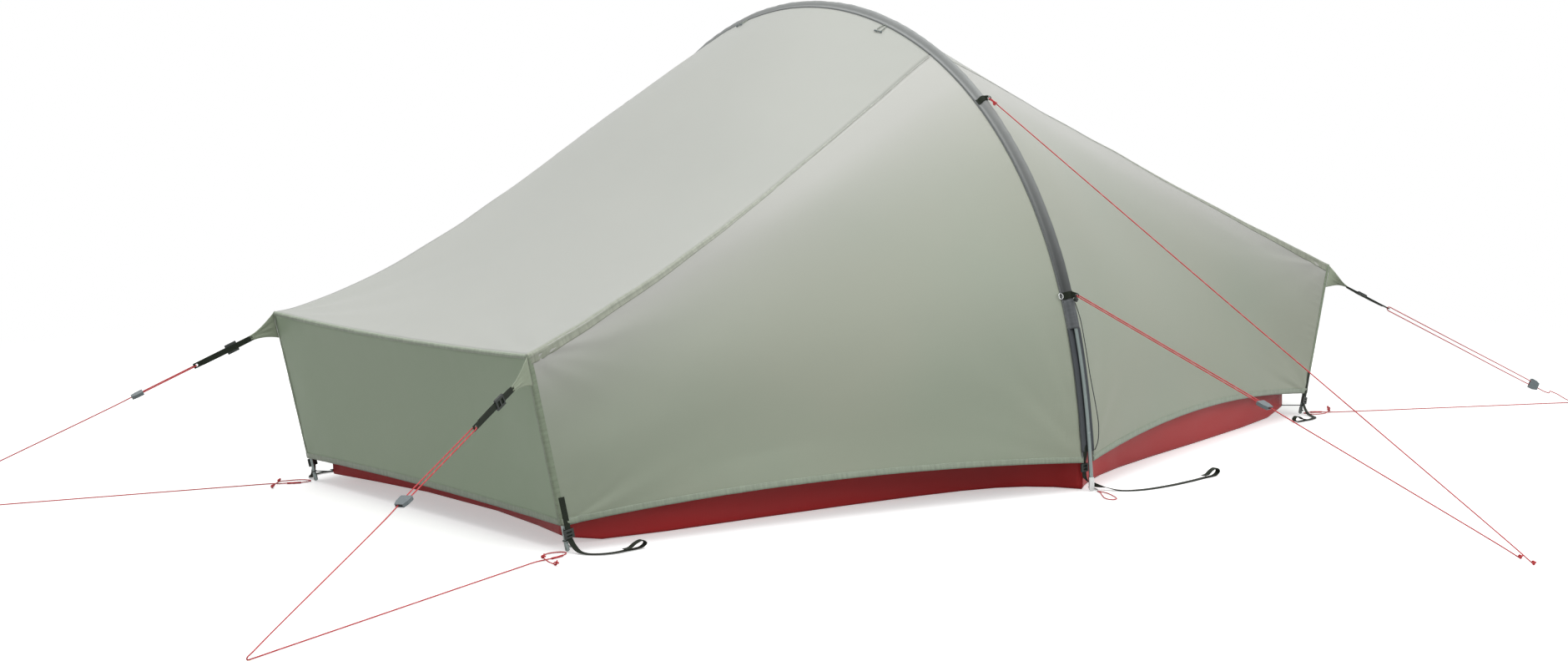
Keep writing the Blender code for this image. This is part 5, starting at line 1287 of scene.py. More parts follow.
def lay_small_cords():
    """The peg loop at the near arch foot and the puller cord on the sleeve."""
    start = ARCH_HALF_SPAN + FOOT_BAR_OUT + FOOT_BAR[1] / 2 + GAP
    outline = (
        (-0.0017, 0.000), (-0.004, 0.009), (-0.014, 0.020), (-0.032, 0.040), (-0.048, 0.064),
        (-0.044, 0.078), (-0.030, 0.076), (-0.014, 0.054), (-0.001, 0.028), (0.0024, 0.012), (0.0017, 0.000),
    )
    points = [Vector((x, -start - out, CORD_REST)) for x, out in outline]
    remember("arch_foot_loop", points, [2] * (len(points) - 1))
    start = distance_at_height(MID_BAND_HEIGHT) - BAND_WIDTH / 2 - GAP
    route = [
        (start, 0.0004, 0.0101),
        (start - 0.012, 0.0040, 0.0103),
        (start - 0.045, 0.0110, 0.0080),
        (start - 0.100, 0.0140, 0.0060),
        (start - 0.175, 0.0150, 0.0070),
        (start - 0.230, 0.0190, 0.0090),
        (start - 0.277, 0.0190, 0.0130),
        (start - 0.312, 0.0100, 0.0170),
        (start - 0.330, -0.0020, 0.0195),
    ]
    points = [on_arch(distance, outward, x) for distance, outward, x in route]
    remember("puller_cord", points, [3, 4, 5, 5, 5, 5, 4, 3])


CORNER_CORDS = (
    (FRONT, NEAR, "front_near", FRONT_NEAR_LOCK),
    (FRONT, FAR, "front_far", FRONT_FAR_LOCK),
    (REAR, NEAR, "rear_near", REAR_NEAR_LOCK),
)


def tie(word, name, spot, way, rise_and_size):
    """A knot of this red cord, a little over the spot."""
    rise, size = rise_and_size
    piece = knot(f"{word}_{name}", spot + Z_AXIS * rise, way, size, CORD_DIAMETER, RED_CORD)
    return dress(piece, "tent", "red_cord")


def tie_cord(word, path):
    """The knots of a cord, the binding of its doubled end and its line lock."""
    end = path[-1]
    if word == "arch_cord_high":
        way = (end - path[14]).normalized()
        top = tie(word, "knot", path[0], way, ARCH_TOP_KNOT)
        return [top, tie(word, "end_knot", end, way, ARCH_END_KNOT)]
    if word == "arch_cord_mid":
        way = (end - path[-2]).normalized()
        return [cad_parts["line_lock_arch"], tie(word, "end_knot", end, way, ARCH_END_KNOT)]
    if not word.startswith("corner_cord"):
        return []
    way = (path[-3] - end).normalized()
    extras = [
        tie(word, "end_knot", end, way, CORNER_END_KNOT),
        tie(word, "loop_knot", path[-5], way, CORNER_LOOP_KNOT),
    ]
    bound = [point for point in path[-len(path) // 3:-14] if (point - path[-12]).length < BOUND_LENGTH]
    binding = tube(f"{word}_whipping", bound[-BOUND_POINTS:], CORD_DIAMETER * BINDING_SHARE, RED_CORD)
    extras.append(dress(binding, "tent", "red_cord"))
    return extras + [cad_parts[word.replace("corner_cord", "line_lock")]]


def make_cords():
    for corner in CORNER_CORDS:
        lay_corner_cord(*corner)
    lay_arch_cords()
    lay_small_cords()
    for word, path in ROUTES.items():
        dark = word == "puller_cord"
        diameter = PULLER_DIAMETER if dark else CORD_DIAMETER
        piece = tube(f"{word}_braid", path, diameter, DARK_CORD if dark else RED_CORD)
        dress(piece, "tent", "dark_cord" if dark else "red_cord", word)
        extras = tie_cord(word, path)
        length_of(path)


# Flysheet

def seam_ripple(end, side, along):
    """Small bumps of a roof seam, where its stitching draws the cloth in."""
    swing = noise.noise(Vector((along * 11.0, side * 3.7, end * 2.1)))
    return SEAM_RIPPLE * swing * min(1.0, 8 * bow(along))


def rippled_roof(end):
    surface = roof_surface(end)

    def place_at(u, v):
        near_rise = seam_ripple(end, NEAR, v) * (1 - u) ** RIPPLE_POWER
        far_rise = seam_ripple(end, FAR, v) * u ** RIPPLE_POWER
        return surface(u, v) + Z_AXIS * (near_rise + far_rise)

    return place_at


def rippled_side(end, side):
    surface = side_surface(end, side)

    def place_at(u, v):
        return surface(u, v) + Z_AXIS * (seam_ripple(end, side, v) * (1 - u) ** RIPPLE_POWER)

    return place_at


def rippled_triangle(u, v):
    rise = seam_ripple(FRONT, FAR, v) * (1 - u) ** RIPPLE_POWER
    return beside_door_surface(u, v) + Z_AXIS * rise


def square_of(surface, u, v, outward):
    """The unit vector square to the surface at this spot, on its outward side."""
    step = 0.003
    down = surface(min(u + step, 1), v) - surface(max(u - step, 0), v)
    along = surface(u, min(v + step, 1)) - surface(u, max(v - step, 0))
    square = down.cross(along).normalized()
    return -square if square.dot(outward) < 0 else square


def fan(du, dv, folds, depth, reach, seed):
    """Folds that fan out from a pulled corner. du and dv are the distances from it, in metres."""
    away = math.hypot(du, dv)
    turn = math.atan2(abs(dv), abs(du) + 1e-6)
    fade = away / (away + FAN_START) * math.exp(-away / reach)
    return depth * fade * noise.noise(Vector((turn * folds, seed, away * 2.0)))


def relieved(surface, outward, size, seed, dent=0.006, gather=0.0016, corners=()):
    """The surface with the relief of hung cloth: slack hollows, gathers at its seams and fans at its corners.
    All of it fades out on the sewn edges. size is the width along u and the length along v."""

    def place_at(u, v):
        spot = surface(u, v)
        edges = [u * size[0], (1 - u) * size[0], v * size[1], (1 - v) * size[1]]
        nearest = min(edges)
        hollow = Vector((u * size[0] * 3.2 + seed, v * size[1] * 2.4, seed))
        rise = dent * noise.noise(hollow) * min(1, nearest * 8)
        for place, edge in enumerate(edges):
            along = (v * size[1]) if place < 2 else (u * size[0])
            swing = noise.noise(Vector((along / GATHER_STEP, seed + place, edge * 6.0)))
            rise += gather * swing * math.exp(-edge / GATHER_REACH)
        for corner_u, corner_v, folds, depth, reach in corners:
            rise += fan((u - corner_u) * size[0], (v - corner_v) * size[1], folds, depth, reach, seed)
        fade = 1 - math.exp(-nearest / EDGE_FADE)
        return spot + square_of(surface, u, v, outward) * (rise * fade)

    return place_at


def spot_inward(surface, edge, along, inward):
    """The spot (u, v) this far inward of an edge, in metres, at a share along it. An edge is u0, u1, v0
    or v1."""
    by_u, high = edge[0] == "u", edge[1] == "1"

    def at(share):
        share = 1 - share if high else share
        return (share, along) if by_u else (along, share)

    reach = (surface(*at(0.05)) - surface(*at(0.0))).length / 0.05
    return at(inward / max(reach, 0.05))


def edge_strip(surface, edge, width, lift, outward):
    """A narrow strip that lies on the surface along one of its edges."""

    def place_at(u, v):
        spot = spot_inward(surface, edge, v, u * width)
        return surface(*spot) + square_of(surface, *spot, outward) * lift

    return place_at


Panel = namedtuple("Panel", "piece shape outward size body slot strips")
PANELS = {}


def hang_panel(word, surface, outward, size, grid, material, corners, seed, dent=0.006, body="tent"):
    """One panel of the flysheet, in place of its solid."""
    shape = relieved(surface, outward, size, seed, dent=dent, corners=corners)
    panel = cloth(f"{word}_cloth", *grid, shape, material, outward, FABRIC, size=size)
    slot = "door_cloth" if body == "fly_door" else "fly_cloth"
    dress(panel, body, slot, word)
    PANELS[word] = Panel(panel, shape, outward, size, body, slot, [])


def sew(word, name, edge, width, material, lift=FABRIC + STRIP_LIFT, rows=120, slot=None):
    """A folded strip on this panel, along one of its edges."""
    panel = PANELS[word]
    length = panel.size[1] if edge[0] == "u" else panel.size[0]
    surface = edge_strip(panel.shape, edge, width, lift, panel.outward)
    piece = cloth(
        f"{word}_{name}", 3, rows, surface, material, panel.outward, STRIP_THICKNESS, size=(width, length))
    dress(piece, panel.body, slot or panel.slot)
    panel.strips.append(piece)


def sew_piping(word):
    sew(word, "piping", "v0", PIPING_WIDTH, PIPING, rows=110, slot="sleeve_cloth")


def on_panel(word, edge, along, inward):
    """A point just over the panel's cloth, this far inward of one of its edges, in metres."""
    panel = PANELS[word]
    spot = spot_inward(panel.shape, edge, along, inward)
    return panel.shape(*spot) + square_of(panel.shape, *spot, panel.outward) * (FABRIC + STRIP_LIFT / 2)


def wrap_seam(name, first, second, widths, material, rows):
    """A felled seam over the line where two panels meet. first and second are the panels with their edges,
    and widths gives how far it reaches onto each at v, in metres."""
    panel = PANELS[first[0]]
    outward = (panel.outward + PANELS[second[0]].outward).normalized()
    knots_at = []
    for row in range(rows + 1):
        wide_first, wide_second = widths(row / rows)
        knots = [on_panel(*first, row / rows, wide_first * share) for share in (1.0, 0.5, 0.12)]
        knots += [on_panel(*second, row / rows, wide_second * share) for share in (0.12, 0.5, 1.0)]
        knots_at.append(knots)

    def place_at(u, v):
        knots = knots_at[round(v * rows)]
        spot = u * (len(knots) - 1)
        low = min(int(spot), len(knots) - 2)
        before, after = knots[max(low - 1, 0)], knots[min(low + 2, len(knots) - 1)]
        share = spot - low
        start, finish = (knots[low + 1] - before) / 2, (after - knots[low]) / 2
        rest = share * share * (3 - 2 * share)
        bend = start * (share * (1 - share) ** 2) - finish * (share ** 2 * (1 - share))
        swell = SEAM_SWELL * noise.noise(Vector((v * rows / 2.4, u * 3.0, len(name))))
        return knots[low] * (1 - rest) + knots[low + 1] * rest + bend + outward * swell

    length = length_of([on_panel(*first, step / 16, 0.0) for step in range(17)])
    piece = cloth(name, 15, rows, place_at, material, outward, STRIP_THICKNESS / 2, size=(SEAM_SPAN, length))
    dress(piece, "tent", "fly_cloth")
    panel.strips.append(piece)


def roof_seam_widths(v):
    """How far a roof seam reaches onto the roof and onto the side: it widens towards its corner."""
    return mix(0.0010, 0.0070, v ** 2), mix(0.0014, 0.0190, v ** 2)


def wrap_seams():
    for word in ("front", "rear"):
        roof, end = f"fly_{word}_roof", f"fly_{word}_end"
        wrap_seam(f"fly_{word}_top_seam", (roof, "v1"), (end, "v0"),
                  lambda v: (0.0035, 0.0055), END_SEAM, 130)
        for side, edge in (("near", "u0"), ("far", "u1")):
            panel = f"fly_{word}_side_{side}"
            wrap_seam(f"fly_{word}_corner_seam_{side}", (panel, "v1"), (end, edge),
                      lambda v: (0.0100, 0.0070), CORNER_SEAM, 60)
            if (word, side) != ("front", "far"):
                wrap_seam(f"fly_{word}_roof_seam_{side}", (roof, edge), (panel, "u0"),
                          roof_seam_widths, ROOF_SEAM, 220)


# Folds that fan out from the pulled corners of a panel: u, v, how many, their depth and their reach
ROOF_FOLDS = ((0, 1, 5, 0.005, 0.20), (1, 1, 5, 0.005, 0.20), (0, 0, 4, 0.002, 0.15), (1, 0, 4, 0.002, 0.15))
END_FOLDS = ((0, 0, 5, 0.004, 0.14), (1, 0, 5, 0.004, 0.14), (0, 1, 5, 0.004, 0.12), (1, 1, 5, 0.004, 0.12))
SIDE_FOLDS = ((0, 1, 5, 0.005, 0.24), (1, 1, 5, 0.006, 0.18), (1, 0, 6, 0.005, 0.16))
TRIANGLE_FOLDS = ((0, 1, 8, 0.006, 0.16), (1, 1, 8, 0.005, 0.12))
DOOR_FOLDS = ((1, 0, 8, 0.008, 0.15), (0, 0, 8, 0.004, 0.12))
# Widths of the panels along u and their lengths along v, in metres
ROOF_WIDTH = 0.80
ROOF_REACH_Z = 0.60
END_SIZE = (0.95, 0.33)
SIDE_SIZE = (0.90, 1.30)
TRIANGLE_SIZE = (0.30, 1.40)
DOOR_SIZE = (0.90, 1.22)


def hang_side(word, surface, outward, seed):
    hang_panel(word, surface, outward, SIDE_SIZE, (80, 110), FLY_CLOTH, SIDE_FOLDS, seed, dent=0.009)


def make_fly():
    for end, word, top_x in ((FRONT, "front", FRONT_TOP_X), (REAR, "rear", REAR_TOP_X)):
        roof_size = (ROOF_WIDTH, math.hypot(top_x, ROOF_REACH_Z))
        hang_panel(f"fly_{word}_roof", rippled_roof(end), Z_AXIS, roof_size, (72, 96), ROOF_CLOTH,
                   ROOF_FOLDS, 3.1 + end, dent=0.005)
        hang_panel(f"fly_{word}_end", end_surface(end), X_AXIS * end, END_SIZE, (80, 32), END_CLOTH,
                   END_FOLDS, 7.7 + end, dent=0.004)
        hang_side(f"fly_{word}_side_near", rippled_side(end, NEAR), -Y_AXIS, 1.3 + end)
    hang_side("fly_rear_side_far", rippled_side(REAR, FAR), Y_AXIS, 5.9)
    hang_panel("fly_front_side_far", rippled_triangle, Y_AXIS, TRIANGLE_SIZE, (30, 110), FLY_CLOTH,
               TRIANGLE_FOLDS, 8.3, dent=0.002)
    hang_panel("fly_door", door_surface, Y_AXIS, DOOR_SIZE, (80, 90), DOOR_CLOTH,
               DOOR_FOLDS, 4.6, body="fly_door")
    for word in ("front", "rear"):
        sew(f"fly_{word}_end", "edge_v1", "v1", HEM_WIDTH, FLY_HEM, rows=80)
        sew(f"fly_{word}_side_near", "edge_u1", "u1", HEM_WIDTH, FLY_HEM)
        sew_piping(f"fly_{word}_roof")
        sew_piping(f"fly_{word}_side_near")
    sew("fly_rear_side_far", "edge_u1", "u1", HEM_WIDTH, FLY_HEM)
    sew_piping("fly_rear_side_far")
    sew("fly_front_side_far", "edge_u0", "u0", SEAM_WIDTH, FLY_SEAM)
    sew("fly_front_side_far", "edge_u1", "u1", HEM_WIDTH, FLY_HEM)
    sew("fly_door", "edge_u0", "u0", SEAM_WIDTH, FLY_SEAM, rows=100)
    sew("fly_door", "edge_u1", "u1", HEM_WIDTH, FLY_HEM, rows=100)
    sew("fly_door", "zip_tape", "v0", ZIP_TAPE_WIDTH, ZIP_TAPE, lift=FABRIC + ZIP_TAPE_LIFT, rows=110)
    wrap_seams()


def declare_fly():
    for word, panel in PANELS.items():
        steps = [step / 12 for step in range(13)]
        widths = [length_of([panel.shape(u, v) for u in steps]) for v in steps]
        lengths = [length_of([panel.shape(u, v) for v in steps]) for u in steps]
        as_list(panel.strips)


# Sleeve

def sleeve_top(flat, grow=0.0, spare=0.0):
    """The sleeve's upper outline as x and outward, from its rear edge over the pole to its front edge."""
    if flat:
        low = -SLEEVE_DEPTH + BAND_THICKNESS + grow
        edge = SLEEVE_HALF_WIDTH + spare
        knots = [(edge, low - 0.0004 + spare * 0.4), (0.010, low + spare * 0.1), (0.0, low + 0.0002)]
    else:
        knots = [
            (SLEEVE_HALF_WIDTH, -SLEEVE_DEPTH + FABRIC),
            (SLEEVE_SHOULDER, -SLEEVE_CROWN),
            (SLEEVE_WAIST, SLEEVE_WAIST_OUT),
            (SLEEVE_CROWN, SLEEVE_DEPTH),
        ]
        knots = [(x + grow * (x > SLEEVE_CROWN), out + grow) for x, out in knots]
    half = [Vector((x, out, 0)) for x, out in knots]
    half += [Vector((-point.x, point.y, 0)) for point in reversed(half) if point.x > 0]
    return curve_through(half, [4] * (len(half) - 1))


def over_sleeve(outline, first, last, ripple=0.0, seed=0.0):
    """The surface of cloth that lies over the sleeve from one distance along the arch to another."""
    count = len(outline) - 1

    def place_at(u, v):
        spot = u * count
        low = min(int(spot), count - 1)
        point = outline[low].lerp(outline[low + 1], spot - low)
        distance = mix(first, last, v)
        swing = ripple * noise.noise(Vector((distance / 0.016, u * 3.0, seed)))
        swing += ripple * 0.8 * noise.noise(Vector((distance / 0.09, u * 2.0, seed + 5)))
        return on_arch(distance, point.y + swing * bow(min(1, max(0, u))), point.x)

    return place_at


def sleeve_part(name, columns, rows, surface, material, size, thickness, *nodes):
    """One cloth of the sleeve, with its thickness shared between its two sides."""
    piece = cloth(name, columns, rows, surface, material, size=size)
    thicken(piece, thickness)
    return dress(piece, "tent", "sleeve_cloth", *nodes)


def make_sleeve():
    first = TUBE_END_DISTANCE + MOUTH_INSET
    last = ARCH_LENGTH - TUBE_END_DISTANCE - MOUTH_INSET
    length = last - first
    rows = round(length / 0.005)
    tube_top = over_sleeve(sleeve_top(False), first, last, 0.0011, 1.7)
    sleeve = sleeve_part(
        "pole_sleeve_cloth", 24, rows, tube_top, SLEEVE_CLOTH, (0.05, length), SLEEVE_THICKNESS,
        "pole_sleeve")
    edges = [Vector((x, -SLEEVE_DEPTH, 0)) for x in (SLEEVE_HALF_WIDTH, -SLEEVE_HALF_WIDTH)]
    under = over_sleeve(edges, BAND_END_DISTANCE, ARCH_LENGTH - BAND_END_DISTANCE)
    extras = [sleeve_part("pole_sleeve_base", 4, rows, under, SLEEVE_CLOTH, (0.03, ARCH_LENGTH), THIN_CLOTH)]
    for word, start, finish, spare in (
        ("near", BAND_END_DISTANCE, first, LEG_BAND_SPARE),
        ("far", last, ARCH_LENGTH - BAND_END_DISTANCE, 0.0),
    ):
        over_leg = over_sleeve(sleeve_top(True, 0.0, spare), start, finish, 0.0004, 2.2)
        size = (0.03, finish - start)
        rows = round(size[1] / 0.006)
        extras.append(
            sleeve_part(f"leg_band_{word}", 12, rows, over_leg, SLEEVE_BAND, size, LEG_BAND_THICKNESS))
    for word, start, finish in (
        ("near", first - MOUTH_LAP, first + MOUTH_LENGTH),
        ("far", last - MOUTH_LENGTH, last + MOUTH_LAP),
    ):
        around = over_sleeve(sleeve_top(False, 0.0010), start, finish, 0.0006, 4.0)
        size = (0.05, MOUTH_LENGTH)
        extras.append(sleeve_part(f"sleeve_mouth_{word}", 24, 16, around, MOUTH_BINDING, size, THIN_CLOTH))


# Corner tabs and straps

def make_corner_tab(end, side, word):
    """The cloth tab at a top corner, gathered towards the webbing that pulls it."""
    corner, way, width_way, across = corner_frame(end, side)
    down_edge = (edge_point(end, side, 0) - corner).normalized()
    base = corner + Vector((end, side, 0)) * TAB_STANDOFF
    tip = corner + way * (TAB_LENGTH - TAB_SHORT)
    knots = [base, base.lerp(tip, 0.33), base.lerp(tip, 0.66), tip]
    ways = [down_edge, down_edge.lerp(width_way, 0.33), down_edge.lerp(width_way, 0.66), width_way]
    path = curve_through(knots, [8] * 3)
    turned = ways_through(ways, [8] * 3)
    widths = [mix(WEBBING_WIDTH, TAB_HEIGHT, (1 - place / 24) ** 1.7) for place in range(25)]
    flat = along_path(path, turned, widths)

    def folded(u, v):
        swing = noise.noise(Vector((u * 5.0, v * 1.2, end * 2.0 + side)))
        return flat(u, v) + across * (TAB_FOLD * swing * bow(v) * bow(u))

    tab = cloth(f"corner_tab_{word}", 20, 24, folded, TAB_CLOTH, size=(TAB_HEIGHT, 0.09))
    thicken(tab, FABRIC)
    dress(tab, "tent", "fly_cloth", f"corner_strap_{word}")


def make_corner_webbing(end, side, word):
    """The webbing that comes out of the tab, with the cord's hole, its eyelet and the doubled tail."""
    corner, way, width_way, across = corner_frame(end, side)
    hole = STRAP_LENGTH - STRAP_HOLE_MARGIN
    start = TAB_LENGTH - TAB_SHORT - TAB_LAP
    steps = round((STRAP_LENGTH - start) / WEBBING_STEP)
    path = [corner + way * mix(start, STRAP_LENGTH, step / steps) for step in range(steps + 1)]

    def clear_of_hole(u, v):
        along = mix(start, STRAP_LENGTH, v) - hole
        return math.hypot(along / HOLE_HALF_LENGTH, (u - 0.5) * WEBBING_WIDTH / HOLE_HALF_WIDTH) > 1.0

    count = len(path)
    piece = strap(f"corner_webbing_{word}", path, [width_way] * count, [WEBBING_WIDTH] * count, WEBBING,
                  columns=12, keep=clear_of_hole)
    dress(piece, "tent", "webbing")
    low = across if across.z < 0 else -across
    tail = []
    for share in [step / 12 for step in range(13)]:
        spot = corner + way * mix(start + TAB_LAP, hole - TAIL_SHORT, share)
        tail.append(spot + low * (TAIL_DROP + TAIL_SAG * bow(share)))
    doubled = strap(f"corner_webbing_tail_{word}", tail, [width_way] * 13, [WEBBING_WIDTH] * 13, WEBBING)
    dress(doubled, "tent", "webbing")
    spot = corner + way * hole
    eyelet = ring(f"strap_eyelet_{word}", spot, way, width_way, EYELET_RADIUS, EYELET_WIRE, DARK_PLASTIC)
    dress(eyelet, "tent", "dark_plastic")


def make_corner_straps():
    for corner in CORNERS:
        make_corner_tab(*corner)
        make_corner_webbing(*corner)


# Foot straps

def corner_foot_route(end, side):
    """The webbing from a corner's hem down through its buckle and out over the ground: its centres, the
    ways that its width lies in, the steps in each span and the way that its end points."""
    surface = beside_door_surface if (end, side) == (FRONT, FAR) else side_surface(end, side)
    inset = 1 - STRAP_EDGE_INSET / FOOT_X
    low = surface(1.0, inset)
    high = surface(1 - FOOT_STRAP_RISE / (TOP_Z - HEM_Z), inset)
    down = (low - high).normalized()
    along_hem = (surface(0.9, inset - 0.01) - surface(0.9, inset)).normalized()
    normal = down.cross(along_hem).normalized()
    if normal.y * side < 0:
        normal = -normal
    lift = normal * (FABRIC + GAP * 2 + WEBBING_THICKNESS / 2)
    foot = strut_ends(end, side)[0]
    inward = Vector((-end, 0, 0))
    outward = Vector((0, side, 0))
    buckle_spot = low + lift + down * FOOT_BUCKLE_DROP
    reach = down * (FOOT_BUCKLE_LENGTH / 2 + 0.0015)
    knee = Vector((low.x, foot.y, 0)) + inward * 0.008 + outward * 0.0150
    centres = [
        high + lift,
        low + lift,
        buckle_spot - reach,
        buckle_spot + reach,
        knee + outward * 0.010 + inward * 0.004 + Z_AXIS * 0.0055,
        knee + outward * 0.026 + inward * 0.010 + Z_AXIS * STRAP_REST,
        knee + outward * 0.046 + inward * 0.026 + Z_AXIS * STRAP_REST,
        knee + outward * 0.056 + inward * 0.054 + Z_AXIS * STRAP_REST,
        knee + outward * 0.056 + inward * 0.084 + Z_AXIS * STRAP_REST,
    ]
    sides = [along_hem] * 4 + [inward, inward - outward * 0.4, inward - outward, -outward, -outward]
    if Z_AXIS.cross(inward).dot(outward) > 0:
        sides = [-way for way in sides]
    return centres, sides, [3, 1, 1, 3, 2, 2, 2, 2], inward


def arch_foot_route(side):
    """The same for the webbing from the sleeve's end past the foot of the arch."""
    rest = -SLEEVE_DEPTH + BAND_THICKNESS + GAP + WEBBING_THICKNESS / 2
    x = side * 0.0088
    outward = Vector((0, side, 0))
    foot = outward * ARCH_HALF_SPAN
    heights = ((0.118, rest), (0.079, rest), (0.062, -0.0098), (0.040, -0.0098))
    centres = [on_arch(distance_at_height(height, side), out, x) for height, out in heights]
    slant = (X_AXIS - Z_AXIS * 0.8).normalized()
    if side == NEAR:
        route = ((0.030, -0.0100, -0.0080), (0.020, -0.0110, 0.0010), (0.0130, -0.0100, 0.0150))
        turned = [X_AXIS, slant, (X_AXIS * 0.3 - Z_AXIS).normalized()]
    else:
        route = ((0.030, -0.0085, 0.0130), (0.020, -0.0075, 0.0165), (0.0130, -0.0040, 0.0230))
        turned = [X_AXIS, (X_AXIS - Z_AXIS * 0.3).normalized(), slant]
    centres += [on_arch(distance_at_height(height, side), out, at) for height, out, at in route]
    centres += [
        foot + X_AXIS * 0.030 + outward * 0.012 + Z_AXIS * 0.0070,
        foot + X_AXIS * 0.048 + outward * 0.038 + Z_AXIS * STRAP_REST,
        foot + X_AXIS * 0.085 + outward * 0.064 + Z_AXIS * STRAP_REST,
        foot + X_AXIS * 0.160 + outward * 0.076 + Z_AXIS * STRAP_REST,
        foot + X_AXIS * 0.240 + outward * 0.076 + Z_AXIS * STRAP_REST,
        foot + X_AXIS * 0.298 + outward * 0.072 + Z_AXIS * STRAP_REST,
    ]
    flat = [(X_AXIS - outward * 0.5 - Z_AXIS * 0.3).normalized(), (X_AXIS - outward).normalized()]
    flat += [(X_AXIS * 0.3 - outward).normalized(), -outward, -outward, -outward]
    return centres, [X_AXIS] * 4 + turned + flat, [2, 2, 1, 2, 2, 2, 2, 2, 3, 3, 3, 2], X_AXIS


def make_foot_straps():
    routes = [(word, corner_foot_route(end, side)) for end, side, word in CORNERS]
    routes += [("arch_near", arch_foot_route(NEAR)), ("arch_far", arch_foot_route(FAR))]
    for word, (centres, sides, counts, ahead) in routes:
        loop, loop_sides = tail_loop(Vector((centres[-1].x, centres[-1].y, 0)), ahead, sides[-1])
        counts = [3 * count for count in counts + [2] * (len(loop) - 1)]
        path = curve_through(centres[:-1] + loop, counts)
        ways = ways_through(sides[:-1] + loop_sides, counts)
        piece = strap(f"foot_webbing_{word}", path, ways, [WEBBING_WIDTH] * len(path), WEBBING)
        dress(piece, "tent", "webbing", f"foot_strap_{word}")


# Bands with the guy points

# The hook under the middle near band: how far each part is below the hole and on towards the peg, and
# its sizes
HOOK_PARTS = (
    ("hook", 0.0098, 0.0010, (0.0095, 0.0062, 0.0085)),
    ("hook_arm", 0.0052, -0.0020, (0.0032, 0.0044, 0.0100)),
)


def make_band_webbing(name, distance):
    """The webbing that goes over the sleeve, from one of its seams to the other."""
    lift = GAP + WEBBING_THICKNESS / 2
    outline = [
        (-SLEEVE_HALF_WIDTH, -SLEEVE_DEPTH + FABRIC + lift),
        (-SLEEVE_SHOULDER - lift * 0.6, -SLEEVE_CROWN + lift),
        (-SLEEVE_WAIST - lift, SLEEVE_WAIST_OUT + lift * 0.5),
        (-SLEEVE_CROWN - lift * 0.4, SLEEVE_DEPTH + lift),
    ]
    outline += [(-x, outward) for x, outward in reversed(outline)]
    knots = [on_arch(distance, outward, x) for x, outward in outline]
    path = curve_through(knots, [4] * (len(knots) - 1))
    ways = [arch_tangent(distance)] * len(path)
    band = strap(f"{name}_webbing", path, ways, [BAND_WIDTH] * len(path), WEBBING)
    dress(band, "tent", "webbing", name)


def make_band_tab(name, height, side):
    """The tab that stands off a band, with the cord's hole and its eyelet."""
    distance, root, hole, way, width_way, _ = band_frame(height, side)
    end_point = hole + way * BAND_TAB_HOLE * 1.8
    count = 12
    path = [root.lerp(hole, step / count) for step in range(count)]
    path += [hole.lerp(end_point, step / 6) for step in range(7)]
    ways = ways_through([arch_tangent(distance), width_way, width_way], [count, 6])
    widths = [mix(BAND_WIDTH - 0.001, BAND_TAB_WIDTH, step / count) for step in range(count)]
    widths += [mix(BAND_TAB_WIDTH, BAND_TAB_WIDTH - 0.002, step / 6) for step in range(7)]
    total, to_hole = length_of(path), (hole - root).length

    def clear_of_hole(u, v):
        return math.hypot(v * total - to_hole, (u - 0.5) * BAND_TAB_WIDTH) > BAND_TAB_HOLE

    tab = strap(f"{name}_tab", path, ways, widths, WEBBING, columns=14, keep=clear_of_hole)
    dress(tab, "tent", "webbing")
    radius = BAND_TAB_HOLE + BAND_EYELET_SPARE
    eyelet = ring(f"{name}_eyelet", hole, way, width_way, radius, BAND_EYELET_WIRE, BRIGHT_ALLOY)
    dress(eyelet, "tent", "bright_alloy")


def make_hook(name, height, side):
    """The plastic hook that holds the puller cord under the middle near band."""
    _, _, hole, way, width_way, across = band_frame(height, side)
    below = -width_way if width_way.z > 0 else width_way
    for part, down, ahead, size in HOOK_PARTS:
        centre = hole + below * down + way * ahead
        hook = rounded_block(f"{name}_{part}", centre, (way, across, below), size, DARK_PLASTIC)
        dress(hook, "tent", "dark_plastic")


def make_bands():
    for height, level in ((HIGH_BAND_HEIGHT, "high"), (MID_BAND_HEIGHT, "mid")):
        for side, word in ((NEAR, "near"), (FAR, "far")):
            distance = distance_at_height(height, side)
            name = f"arch_band_{level}_{word}"
            make_band_webbing(name, distance)
            make_band_tab(name, height, side)
            if name == "arch_band_mid_near":
                make_hook(name, height, side)
            if level == "mid":
                spot = on_arch(distance, -0.0039, side * (SLEEVE_HALF_WIDTH + 0.0059))
                ways = (X_AXIS * side, arch_tangent(distance))
                hoop = ring(f"{name}_ring", spot, *ways, RING_RADIUS, RING_WIRE, BRIGHT_ALLOY)
                dress(hoop, "tent", "bright_alloy")


# Toggles

# Half of the bar: its radius in metres at a distance from its end in millimetres
TOGGLE_BAR_PROFILE = ((0.0, 0.0), (0.0016, 0.10), (0.0024, 0.5), (0.0019, 1.4), (0.0015, 4.0), (0.0013, 10.0))


